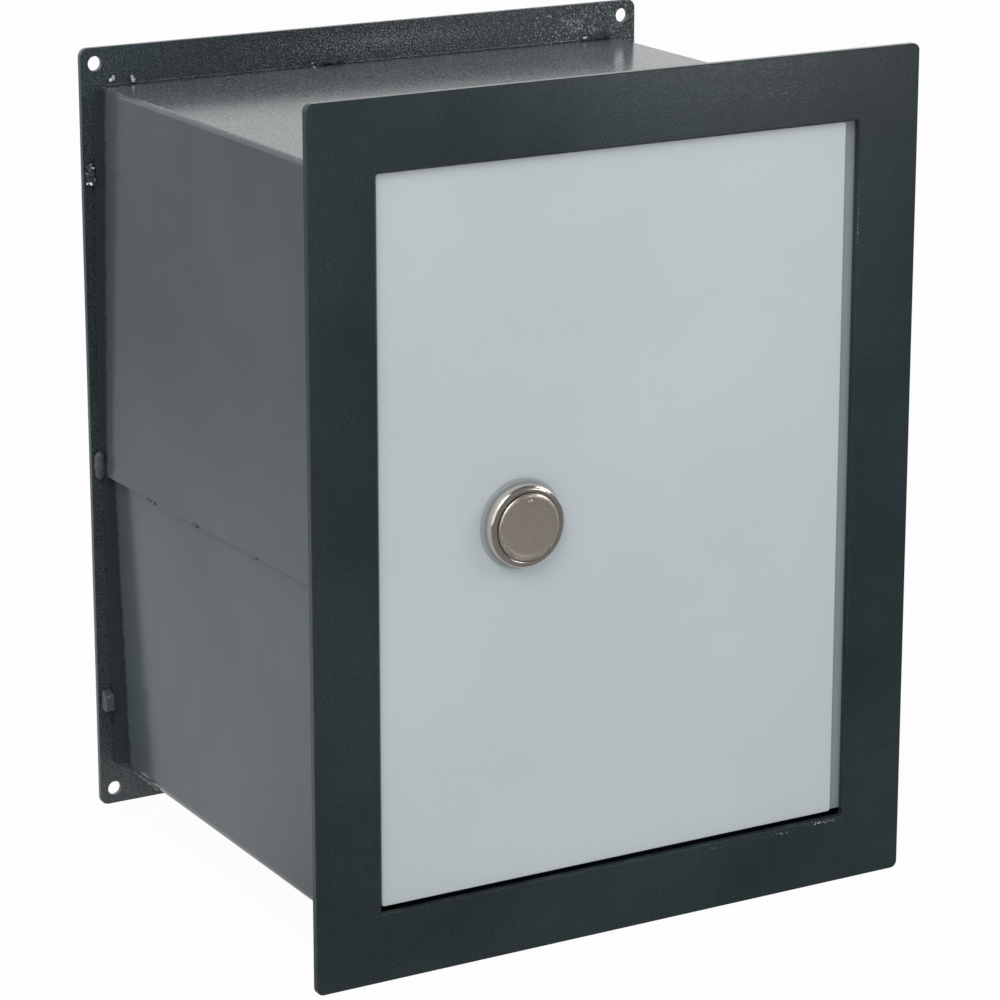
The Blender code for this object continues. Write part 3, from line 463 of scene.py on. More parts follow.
class Coat(Graph):
    """The nodes of one finish, with its shader and its object coordinates."""

    def __init__(self, finish: Finish) -> None:
        """Starts the material.

        Args:
            finish: what it is made from.
        """
        self.material = bpy.data.materials.new(finish.name)
        self.material.diffuse_color = (*finish.colour, 1.0)
        super().__init__(Graph.of(self.material).tree)
        self.shader = self.add("ShaderNodeBsdfPrincipled",
                               {"Base Color": finish.colour, "Roughness": finish.roughness,
                                "Metallic": finish.metallic,
                                "Specular IOR Level": finish.specular})
        self.add("ShaderNodeOutputMaterial",
                 {"Surface": Value(self, self.shader.outputs[0])})
        self.place = self.value("ShaderNodeTexCoord", "Object")

    def effect(self, effect: Effect, **inputs: Input) -> dict[str, Value]:
        """Adds a shared effect over the whole surface, and gives its outputs."""
        return EFFECTS.place(self, effect, vector=self.place, **inputs)

    def marked(self, colour: Value, marks: Iterable[Mark]) -> Value:
        """Lays marks over a colour.

        Args:
            colour: the colour under them.
            marks: the marks.

        Returns:
            The colour with the marks.
        """
        for mark in marks:
            spot = self.effect(Effect.SPOT, place=metres(mark.place),
                               half_size=metres(mark.half_size), breaks=mark.breaks,
                               ragged=mark.ragged, thin=mark.thin)
            colour = self.blend(spot["Mask"] * mark.strength, colour, mark.colour)
        return colour

    def complete(self, colour: Value, roughness: Value, height: Value,
                 depth: float) -> bpy.types.Material:
        """Joins what varies over the surface to the shader.

        Args:
            colour: the colour.
            roughness: the roughness.
            height: the relief, 0 to 1.
            depth: how deep a height of 1 is, in millimetres.

        Returns:
            The material.
        """
        bump = self.value("ShaderNodeBump", 0, {"Height": height, "Distance": depth * MM,
                                                "Strength": 1.0})
        for name, value in (("Base Color", colour), ("Roughness", roughness),
                            ("Normal", bump)):
            self.feed(self.shader.inputs[name], value)
        return self.material


@dataclass(frozen=True)
class HammeredPaint(Finish):
    """Dark paint that dries to fine dimples, with flecks that glint."""

    fleck_colour: Colour = (0.2, 0.2, 0.2)
    fleck_share: float = 0.35
    cells: float = 1250.0
    depth: float = 0.12
    gloss: float = 0.2
    fleck_mix: float = 0.12
    marks: tuple[Mark, ...] = ()

    def material(self) -> bpy.types.Material:
        """Builds the dimpled paint with its flecks, edge rub with a painted edge highlight, dust
        and marks.
        """
        coat = Coat(self)
        grain = coat.effect(Effect.HAMMER, cells=self.cells, fleck_share=self.fleck_share)
        drift = coat.effect(Effect.DRIFT, scale=7.0, low=0.78, high=1.2)
        edge = coat.effect(Effect.EDGE, amount=0.5)
        dust = coat.effect(Effect.DUST, amount=0.12)
        colour = coat.blend(grain["Fleck"] * self.fleck_mix, self.colour, self.fleck_colour)
        colour = coat.scaled(colour, drift["Value"])
        # Lighter edges: partly rubbed paint, partly a painted highlight along the arrises.
        colour = coat.blend(edge["Mask"], colour, self.fleck_colour)
        colour = coat.blend(dust["Mask"], colour, tone(150, 150, 146))
        return coat.complete(coat.marked(colour, self.marks),
                             self.roughness - grain["Fleck"] * self.gloss,
                             grain["Height"], self.depth)


@dataclass(frozen=True)
class SprayedPaint(Finish):
    """Smooth sprayed paint with a faint orange peel."""

    slot: Slot = Slot.MID
    peel_scale: float = 420.0
    peel_depth: float = 0.02
    drift: float = 0.06
    edge_colour: Colour = (0.5, 0.5, 0.5)
    edge_amount: float = 0.3
    dust: float = 0.05
    speck: float = 0.12
    gloss_scale: float = 14.0
    marks: tuple[Mark, ...] = ()

    def material(self) -> bpy.types.Material:
        """Builds the paint with its peel, slow tone drift, edges, dust and marks."""
        coat = Coat(self)
        drift = coat.effect(Effect.DRIFT, scale=6.0, low=1.0 - self.drift,
                            high=1.0 + self.drift)
        edge = coat.effect(Effect.EDGE, amount=self.edge_amount)
        dust = coat.effect(Effect.DUST, amount=self.dust)
        colour = coat.scaled(self.colour, drift["Value"])
        # Lighter edges: partly rubbed paint, partly a painted highlight along the arrises.
        colour = coat.blend(edge["Mask"], colour, self.edge_colour)
        colour = coat.blend(dust["Mask"], colour, tone(176, 174, 168))
        colour = coat.blend(drift["Speck"] * self.speck, colour, self.edge_colour)
        roughness = coat.spread(coat.cloud(coat.place, self.gloss_scale, 4.0), 0.3, 0.7,
                                self.roughness * 0.85, self.roughness * 1.15)
        return coat.complete(coat.marked(colour, self.marks), roughness,
                             coat.cloud(coat.place, self.peel_scale, 2.0),
                             self.peel_depth)


@dataclass(frozen=True)
class TurnedMetal(Finish):
    """Metal with rings from a turning tool, and plating that has dulled a little."""

    slot: Slot = Slot.NICKEL
    centre: Point = (-55.0, -260.0, 2.5)
    plane: Point = (1.0, 0.0, 1.0)
    pitch: float = 2600.0
    depth: float = 0.01
    dull_colour: Colour = (0.3, 0.3, 0.3)
    dull_share: float = 0.3
    vary: float = 0.08
    rim_radius: float = 0.0
    rim_highlight_colour: Colour = (0.95, 0.92, 0.86)

    def rim(self, coat: Coat, colour: Value) -> Value:
        """Adds a broken bright line along a disc's rim: a painted highlight where its bevel
        catches the light.

        Args:
            coat: the material's nodes.
            colour: the colour under it.

        Returns:
            The colour with the line.
        """
        offset = coat.vector("SUBTRACT", coat.place, metres(self.centre))
        radius = coat.vector("LENGTH", coat.vector("MULTIPLY", offset, self.plane))
        sway = coat.cloud(coat.place, 140.0, 2.0) * (1.4 * MM)
        off = coat.math("ABSOLUTE", radius + sway - (self.rim_radius + 0.7) * MM)
        line = coat.spread(off, 0.55 * MM, 0.1 * MM)
        breaks = coat.spread(coat.cloud(coat.place, 420.0, 3.0), 0.44, 0.56)
        return coat.blend(line * breaks * 0.8, colour, self.rim_highlight_colour)

    def material(self) -> bpy.types.Material:
        """Builds the metal with rings in its height, roughness and tone."""
        coat = Coat(self)
        rings = coat.effect(Effect.RINGS, centre=metres(self.centre), plane=self.plane,
                            pitch=self.pitch)
        drift = coat.effect(Effect.DRIFT, scale=90.0)
        colour = coat.blend(drift["Value"] * self.dull_share, self.colour,
                            self.dull_colour)
        colour = coat.blend(rings["Streak"] * 0.12, colour, self.dull_colour)
        if self.rim_radius > 0.0:
            colour = self.rim(coat, colour)
        rough = rings["Streak"] * self.vary + drift["Value"] * self.vary
        return coat.complete(colour, rough + self.roughness, rings["Height"], self.depth)


@dataclass(frozen=True)
class DrawnMetal(Finish):
    """Metal with straight lines from drawing, rolling or brushing."""

    slot: Slot = Slot.STEEL
    stretch: Point = (1.0, 1.0, 0.04)
    scale: float = 1800.0
    depth: float = 0.01
    dull_colour: Colour = (0.2, 0.2, 0.2)
    dull_share: float = 0.35
    vary: float = 0.1

    def material(self) -> bpy.types.Material:
        """Builds the metal with lines in its height, roughness and tone."""
        coat = Coat(self)
        lines = coat.effect(Effect.LINES, stretch=self.stretch, scale=self.scale)
        drift = coat.effect(Effect.DRIFT, scale=60.0)
        edge = coat.effect(Effect.EDGE, amount=0.5)
        colour = coat.blend(drift["Value"] * self.dull_share, self.colour,
                            self.dull_colour)
        colour = coat.blend(lines["Streak"] * 0.2, colour, self.dull_colour)
        colour = coat.blend(edge["Mask"], colour, self.colour)
        rough = lines["Streak"] * self.vary + drift["Value"] * self.vary
        return coat.complete(colour, rough + self.roughness, lines["Height"], self.depth)


@dataclass(frozen=True)
class WeldFinish(Finish):
    """Painted weld metal with bright crests: partly bare spatter, partly a painted highlight where
    the lamps glint on them.
    """

    bright: Colour = (0.6, 0.62, 0.64)
    bright_share: float = 0.1

    def material(self) -> bpy.types.Material:
        """Builds the lumpy paint with its bright crests."""
        coat = Coat(self)
        lumps = coat.cloud(coat.place, 520.0, 4.0, 0.6)
        # The bright crest colour is partly spatter, partly a painted highlight on the lumps' tops.
        start = 0.66 - 0.2 * self.bright_share
        crest = coat.spread(lumps, start, start + 0.08)
        roughness = coat.spread(crest, 0.0, 1.0, self.roughness, self.roughness * 0.6)
        return coat.complete(coat.blend(crest, self.colour, self.bright), roughness, lumps,
                             0.5)


@dataclass(frozen=True)
class SafeFinishes:
    """Every finish of the safe, by what it covers, and the marks on it."""

    worn: Colour = tone(182, 187, 188)
    painted_highlight: Colour = tone(142, 149, 151)
    glint: Colour = tone(150, 158, 162)

    def marks(self) -> dict[str, tuple[Mark, ...]]:
        """The wear along the bottom of the surround's opening, painted highlights down its inner
        right edge and at the strip's ends, painted glints on the surround and plate, a dark band
        round the body's rear lips and grain on its top.

        Returns:
            The marks by what they lie on.
        """
        top_place, top_half = (-20.0, -120.0, 182.5), (300.0, 300.0, 0.9)
        strip_half = (5.0, 4.0, 12.0)
        return {
            "surround": (
                Mark((121.0, -260.0, -181.6), (9.0, 1.0, 0.7), self.worn, 0.75, 2.2, 1100.0, 0.9),
                Mark((93.0, -260.0, -182.8), (14.0, 1.0, 0.8), self.worn, 0.6, 2.2, 1100.0, 1.3),
                Mark((56.0, -260.0, -183.0), (7.0, 1.0, 0.7), self.worn, 0.5, 2.2, 1100.0, 1.5),
                # Painted highlight: broken light specks down the opening's inner right edge, where
                # its arris catches the light.
                Mark((134.2, -260.0, 129.0), (0.6, 0.8, 24.0), self.painted_highlight, 0.8, 1.5, 1500.0, 0.9),
                Mark((90.0, -260.0, 197.0), (60.0, 9.0, 13.0), self.glint, 0.45, 2.4, 1500.0, 2.1),
            ),
            "plate": (
                Mark((15.0, -3.0, 193.0), (95.0, 9.0, 13.0), self.glint, 0.75, 2.4, 1300.0, 1.1),
                Mark((130.0, -3.0, 190.0), (40.0, 9.0, 16.0), self.glint, 0.9, 2.4, 900.0, 1.3),
            ),
            "body": (
                Mark(ORIGIN, (2000.0, 11.0, 2000.0), (0.026, 0.035, 0.039), 0.9, 0.16, 260.0),
                Mark(top_place, top_half, tone(158, 164, 167), 0.4, 2.4, 640.0, 1.1),
                Mark(top_place, top_half, tone(52, 60, 64), 0.5, 2.2, 520.0, 1.2),
            ),
            # Painted highlights at the strip's top and bottom ends, where their rounded edges
            # catch the light.
            "strip": tuple(Mark((131.0, -255.0, z), strip_half, self.painted_highlight, 0.6, 0.15, 200.0)
                           for z in (169.0, -169.0)),
        }

    def build(self) -> dict[str, tuple[bpy.types.Material, Slot]]:
        """Builds all materials.

        Returns:
            The materials and their slots by the finish's name.
        """
        marks = self.marks()
        finishes: tuple[Finish, ...] = (
            HammeredPaint("surround_paint", (0.0188, 0.0296, 0.0333), 0.2, specular=0.35,
                          fleck_colour=tone(104, 112, 114), depth=0.035, gloss=0.05,
                          fleck_mix=0.05, marks=marks["surround"]),
            HammeredPaint("plate_paint", (0.0175, 0.0272, 0.031), 0.22, specular=0.9,
                          fleck_colour=tone(120, 130, 136), fleck_share=0.5, depth=0.2,
                          gloss=0.1, fleck_mix=0.17, marks=marks["plate"]),
            HammeredPaint("fitting_paint", (0.026, 0.034, 0.037), 0.45, specular=0.4,
                          fleck_colour=tone(96, 104, 106), cells=1100.0, depth=0.05),
            SprayedPaint("body_grey", (0.074, 0.092, 0.1), 0.18, specular=0.46,
                         slot=Slot.GREY, edge_colour=tone(150, 156, 158), edge_amount=0.35,
                         peel_scale=620.0, peel_depth=0.035, drift=0.13, speck=0.04,
                         gloss_scale=420.0, marks=marks["body"]),
            # The flange is painted darker than the door: painted shade for the soft shadow round
            # the lock's drum.
            SprayedPaint("flange_painted_shade", (0.30, 0.330, 0.334), 0.45, specular=0.4,
                         slot=Slot.PALE, edge_colour=tone(150, 160, 163), edge_amount=0.0,
                         drift=0.03, peel_depth=0.015, dust=0.02),
            SprayedPaint("door_pale", (0.480, 0.530, 0.552), 0.4, specular=0.45,
                         slot=Slot.PALE, edge_colour=tone(214, 220, 222), edge_amount=0.6,
                         drift=0.025, peel_depth=0.015, dust=0.02),
            SprayedPaint("strip_grey", (0.30, 0.345, 0.365), 0.46, specular=0.4,
                         edge_colour=tone(170, 177, 180), drift=0.05, marks=marks["strip"]),
            SprayedPaint("inner_grey", (0.180, 0.215, 0.228), 0.48, specular=0.4,
                         edge_colour=tone(150, 157, 160), dust=0.08),
            TurnedMetal("dull_nickel", (0.80, 0.76, 0.70), 0.08, 0.92,
                        dull_colour=(0.62, 0.58, 0.52), depth=0.002, vary=0.04),
            TurnedMetal("disc_nickel", (0.60, 0.53, 0.455), 0.26, 0.78,
                        dull_colour=(0.55, 0.49, 0.42), pitch=400.0, depth=0.0,
                        vary=0.015, rim_radius=15.6),
            TurnedMetal("lock_brass", (0.70, 0.55, 0.28), 0.26, 1.0, slot=Slot.BRASS,
                        dull_colour=(0.45, 0.33, 0.15)),
            TurnedMetal("bolt_steel", (0.46, 0.46, 0.46), 0.24, 1.0, slot=Slot.STEEL,
                        centre=ORIGIN, plane=(1.0, 0.0, 0.0), pitch=1400.0,
                        dull_colour=(0.25, 0.245, 0.24)),
            DrawnMetal("bar_steel", (0.42, 0.42, 0.42), 0.34, 1.0,
                       dull_colour=(0.22, 0.215, 0.21)),
            DrawnMetal("screw_steel", (0.48, 0.48, 0.47), 0.3, 1.0, stretch=WHITE,
                       scale=900.0, dull_colour=(0.26, 0.25, 0.24)),
            WeldFinish("weld_bright", (0.030, 0.036, 0.040), 0.22, bright_share=0.5,
                       bright=tone(240, 242, 243)),
            WeldFinish("weld_spark", (0.30, 0.32, 0.33), 0.2, bright_share=0.9,
                       bright=tone(244, 246, 247)),
            WeldFinish("weld_smooth", (0.060, 0.068, 0.073), 0.35, bright_share=0.0,
                       bright=tone(130, 138, 140)),
            WeldFinish("weld_painted", (0.030, 0.038, 0.042), 0.5,
                       bright=tone(130, 138, 140)),
            WeldFinish("weld_seam", (0.055, 0.066, 0.071), 0.3, bright_share=0.55,
                       bright=tone(176, 182, 184)),
            WeldFinish("weld_grey", (0.070, 0.085, 0.091), 0.45,
                       bright=tone(150, 156, 158)),
            WeldFinish("weld_raw", (0.12, 0.137, 0.145), 0.4, bright_share=0.32,
                       bright=tone(190, 194, 196)),
        )
        return {finish.name: (finish.material(), finish.slot) for finish in finishes}


# Meshes


class MeshShop:
    """Turns bmesh builders into dressed pieces, and gives the shapes that several share.

    Its sizes and places are in millimetres.
    """

    def __init__(self, finishes: dict[str, tuple[bpy.types.Material, Slot]]) -> None:
        """Keeps the finishes that pieces are dressed in."""
        self.finishes = finishes

    def dress_node(self, node: str, finish: str) -> None:
        """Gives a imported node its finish.

        Args:
            node: the node's name.
            finish: the finish's name.
        """
        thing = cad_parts[node]
        if not thing.material_slots:
            thing.data.materials.append(None)
        for place in thing.material_slots:
            place.material = self.finishes[finish][0]
        LOG.info("dressed %s in %s", node, finish)

    def piece(self, name: str, builder: bmesh.types.BMesh, finish: str,
              body: Body = Body.SAFE, node: Optional[str] = None, arris: float = 0.0,
              segments: int = 3) -> None:
        """Makes a piece, dresses it, has it ride on its body and rounds its sharp edges.

        Args:
            name: the piece's name.
            builder: its mesh, which is used up.
            finish: the finish's name.
            body: the body it rides on.
            node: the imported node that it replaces, if any.
            arris: how far its edges are rounded.
            segments: the steps of the rounding.
        """
        material, slot = self.finishes[finish]
        bmesh.ops.recalc_face_normals(builder, faces=builder.faces[:])
        mesh = bpy.data.meshes.new(name)
        builder.to_mesh(mesh)
        builder.free()
        mesh.materials.append(material)
        mesh.shade_smooth()
        mesh.set_sharp_from_angle(angle=SMOOTH_ANGLE)
        thing = put(name, mesh)
        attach(thing, body.value)
        if node:
            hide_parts(node)
        if arris:
            bevel = thing.modifiers.new("soften", "BEVEL")
            bevel.width = arris * MM
            bevel.segments = segments
            bevel.limit_method = "ANGLE"
            bevel.angle_limit = SMOOTH_ANGLE
            bevel.use_clamp_overlap = True
            bevel.harden_normals = True
        LOG.info("built %s on %s", name, body.value)

    def refined(self, node: str, name: str, finish: str, body: Body, arris: float) -> None:
        """Makes a piece from a packed form, with its flats joined and its arrises rounded.

        Args:
            node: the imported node, which the piece replaces.
            name: the piece's name.
            finish: the finish's name.
            body: the body it rides on.
            arris: how far its edges are rounded.
        """
        builder = bmesh.new()
        builder.from_mesh(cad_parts[node].data)
        bmesh.ops.remove_doubles(builder, verts=builder.verts[:], dist=MERGE_DISTANCE)
        bmesh.ops.dissolve_limit(builder, angle_limit=FLAT_ANGLE, verts=builder.verts[:],
                                 edges=builder.edges[:])
        self.piece(name, builder, finish, body, node, arris, 2)

    @staticmethod
    def rounded_outline(left: float, right: float, bottom: float, top: float,
                        radius: float, steps: int = 8) -> list[Pair]:
        """The outline of a rectangle with round corners.

        Args:
            left: its left side.
            right: its right side.
            bottom: its bottom.
            top: its top.
            radius: the corners' radius.
            steps: the steps of each corner.

        Returns:
            The points, in order.
        """
        centres = ((right - radius, top - radius), (left + radius, top - radius),
                   (left + radius, bottom + radius), (right - radius, bottom + radius))
        return [(x + radius * math.cos(QUARTER_TURN * (turn + step / steps)),
                 y + radius * math.sin(QUARTER_TURN * (turn + step / steps)))
                for turn, (x, y) in enumerate(centres) for step in range(steps + 1)]

    @staticmethod
    def circle(centre: Pair, radius: float, steps: int = 40) -> list[Pair]:
        """The points of a circle, in order."""
        turns = [FULL_TURN * step / steps for step in range(steps)]
        return [(centre[0] + radius * math.cos(a), centre[1] + radius * math.sin(a))
                for a in turns]

    @staticmethod
    def sheet(outline: Sequence[Pair], holes: Sequence[Sequence[Pair]], front: float,
              back: float) -> bmesh.types.BMesh:
        """A flat plate with holes, standing across Y.

        Args:
            outline: its outline, in x and z.
            holes: the holes' outlines.
            front: its front.
            back: its back.

        Returns:
            The mesh.
        """
        builder = bmesh.new()
        edges = []
        for ring in (outline, *holes):
            corners = [builder.verts.new(metres((x, front, z))) for x, z in ring]
            edges += [builder.edges.new((corners[i - 1], corners[i]))
                      for i in range(len(corners))]
        made = bmesh.ops.triangle_fill(builder, use_beauty=True, use_dissolve=True,
                                       edges=edges)
        faces = [thing for thing in made["geom"] if isinstance(thing, bmesh.types.BMFace)]
        grown = bmesh.ops.extrude_face_region(builder, geom=faces)
        moved = [thing for thing in grown["geom"] if isinstance(thing, bmesh.types.BMVert)]
        bmesh.ops.translate(builder, vec=metres((0.0, back - front, 0.0)), verts=moved)
        return builder

    @staticmethod
    def turned(profile: Sequence[Pair], centre: Pair, axis: Axis = Axis.Y,
               steps: int = 96) -> bmesh.types.BMesh:
        """A solid turned from a profile.

        Args:
            profile: radius and place along the axis, from one end to the other. A ring's
                profile ends where it starts.
            centre: the axis's place in the other two directions, in order.
            axis: the direction it is turned about.
            steps: the steps round it.

        Returns:
            The mesh.
        """
        builder = bmesh.new()
        rings = []
        for radius, along in profile:
            ring = []
            for i in range(1 if radius == 0.0 else steps):
                turn = FULL_TURN * i / steps
                spot = [centre[0] + radius * math.cos(turn),
                        centre[1] + radius * math.sin(turn)]
                spot.insert(axis.value, along)
                ring.append(builder.verts.new(metres(spot)))
            rings.append(ring)
        for near, far in zip(rings, rings[1:]):
            for i in range(steps):
                ends = [near[i % len(near)], near[(i + 1) % len(near)],
                        far[(i + 1) % len(far)], far[i % len(far)]]
                builder.faces.new(list(dict.fromkeys(ends)))
        bmesh.ops.remove_doubles(builder, verts=builder.verts[:],
                                 dist=TURNED_MERGE_DISTANCE)
        return builder

    @staticmethod
    def loft(sections: Sequence[Sequence[Point]]) -> bmesh.types.BMesh:
        """A solid through closed rings of points, with its ends filled.

        Args:
            sections: the rings, from one end to the other.

        Returns:
            The mesh.
        """
        builder = bmesh.new()
        rings = [[builder.verts.new(metres(point)) for point in section]
                 for section in sections]
        for near, far in zip(rings, rings[1:]):
            for i in range(len(near)):
                builder.faces.new((near[i - 1], near[i], far[i], far[i - 1]))
        builder.faces.new(rings[0])
        builder.faces.new(list(reversed(rings[-1])))
        bmesh.ops.remove_doubles(builder, verts=builder.verts[:], dist=MERGE_DISTANCE)
        return builder

    @staticmethod
    def nugget(builder: bmesh.types.BMesh, centre: Sequence[float],
               half_size: Sequence[float], seed: float, rough: float) -> None:
        """Adds a lump of weld metal.

        Args:
            builder: the mesh to add to.
            centre: its middle.
            half_size: its half sizes.
            seed: shifts the noise, so that no two lumps are the same.
            rough: how far the noise moves its surface, as a share of its size.
        """
        ball = bmesh.ops.create_icosphere(builder, subdivisions=4, radius=1.0)
        for corner in ball["verts"]:
            way = corner.co.copy()
            push = noise.fractal(way * 1.7 + Vector((seed, seed * 0.7, -seed)), 1.0, 2.0, 3)
            size = 1.0 + rough * push
            corner.co = metres(centre[k] + half_size[k] * way[k] * size for k in range(3))


# Sub-assemblies


@dataclass
class FrontSurround:
    """The dark frame that laps the wall round the niche."""

    shop: MeshShop
    half_width: float = 168.5
    half_height: float = 215.0
    opening_x: float = 133.7
    opening_z: float = 180.2
    front: float = -260.0
    back: float = -256.0
    corner: float = 3.6
    inner_corner: float = 1.6
    arris: float = 0.5

    def build(self) -> None:
        """Builds the frame with rounded arrises."""
        outline = self.shop.rounded_outline(-self.half_width, self.half_width,
                                            -self.half_height, self.half_height,
                                            self.corner)
        opening = self.shop.rounded_outline(-self.opening_x, self.opening_x,
                                            -self.opening_z, self.opening_z,
                                            self.inner_corner, 5)
        plate = self.shop.sheet(outline, (opening,), self.front, self.back)
        self.shop.piece("front_surround", plate, "surround_paint", node="front_frame",
                        arris=self.arris)


@dataclass
class RearFlange:
    """The rear plate with its four anchor holes."""

    shop: MeshShop
    half_width: float = 164.5
    top: float = 202.5
    bottom: float = -202.6
    front: float = -3.0
    back: float = 0.0
    corner: float = 4.5
    hole_radius: float = 3.75
    hole_x: float = 156.3
    hole_z: Pair = (194.3, -194.4)
    arris: float = 0.4

    def build(self) -> None:
        """Builds the plate with softened edges and holes."""
        outline = self.shop.rounded_outline(-self.half_width, self.half_width, self.bottom,
                                            self.top, self.corner)
        holes = [self.shop.circle((side * self.hole_x, z), self.hole_radius)
                 for side in (-1, 1) for z in self.hole_z]
        plate = self.shop.sheet(outline, holes, self.front, self.back)
        self.shop.piece("rear_flange", plate, "plate_paint", node="rear_plate",
                        arris=self.arris, segments=2)


@dataclass(frozen=True)
class SheetForm:
    """A sheet folded to a U: where its legs end and fold, and how it widens."""

    edge_z: float
    fold_z: float
    bend: float
    front_x: Pair
    rear_x: Pair
    lip_z: float
    lip_reach: Pair

    @property
    def up(self) -> int:
        """1 where the fold is above the legs' ends, else -1."""
        return 1 if self.fold_z > self.edge_z else -1


@dataclass
class BodyShells:
    """The two folded sheets of the body, the lower one's legs inside the upper one's."""

    shop: MeshShop
    sheet: float = 2.0
    front: float = -255.7
    lip_front: float = -5.3
    rear: float = -3.3
    bend_steps: int = 12
    stations: int = 9
    upper: SheetForm = SheetForm(-20.5, 182.5, 2.7, (154.0, 154.0), (158.5, 154.0), -20.5,
                                 (2.3, 4.0))
    lower: SheetForm = SheetForm(-8.5, -187.0, 8.0, (151.5, 151.5), (154.5, 149.5), -20.8,
                                 (4.3, 7.0))

    def section(self, form: SheetForm, y: float, legs: Pair, lip: bool) -> list[Point]:
        """One section of a folded sheet, as a closed ring.

        Args:
            form: the sheet.
            y: where the section is.
            legs: how far out its outer face is at its edge and at its fold.
            lip: whether its legs turn outward here.

        Returns:
            The points.
        """
        edge_x, fold_x = legs
        bend_z = form.fold_z - form.up * form.bend
        bend_x = fold_x - form.bend
        drop = (form.lip_z - form.edge_z) / (bend_z - form.edge_z)
        lip_x = edge_x + (fold_x - edge_x) * drop
        seam_reach, fold_reach = form.lip_reach if lip else (0.0, 0.0)
        turns = [QUARTER_TURN * step / self.bend_steps for step in range(self.bend_steps + 1)]
        outer_bend, inner_bend = (
            [(bend_x + radius * math.cos(a), bend_z + form.up * radius * math.sin(a))
             for a in turns] for radius in (form.bend, form.bend - self.sheet))
        outer = [(edge_x, form.edge_z), (lip_x, form.lip_z), (lip_x + seam_reach, form.lip_z),
                 (fold_x + fold_reach, bend_z), *outer_bend]
        inner = [(edge_x - self.sheet, form.edge_z), *inner_bend]
        outer += [(-x, z) for x, z in reversed(outer)]
        inner += [(-x, z) for x, z in reversed(inner)]
        return [(x, y, z) for x, z in (*outer, *reversed(inner))]

    def shell(self, form: SheetForm) -> bmesh.types.BMesh:
        """One folded sheet with the lips at its rear.

        Args:
            form: the sheet.

        Returns:
            The mesh.
        """
        sections = []
        for station in range(self.stations):
            share = station / (self.stations - 1)
            legs = tuple(a + (b - a) * share for a, b in zip(form.front_x, form.rear_x))
            y = self.front + (self.lip_front - self.front) * share
            sections.append(self.section(form, y, legs, False))
        sections += [self.section(form, y, form.rear_x, True)
                     for y in (self.lip_front, self.rear)]
        return self.shop.loft(sections)

    def build(self) -> None:
        """Builds both sheets."""
        for name, form in (("upper", self.upper), ("lower", self.lower)):
            self.shop.piece(f"body_wrap_{name}", self.shell(form), "body_grey",
                            node=f"{name}_shell")


@dataclass(frozen=True)
class WeldRow:
    """A short weld: a row of frozen drops between two points."""

    name: str
    finish: str
    start: Point
    end: Point
    drop: Point
    drops: int = 2
    wander: float = 0.4
    rough: float = 0.3


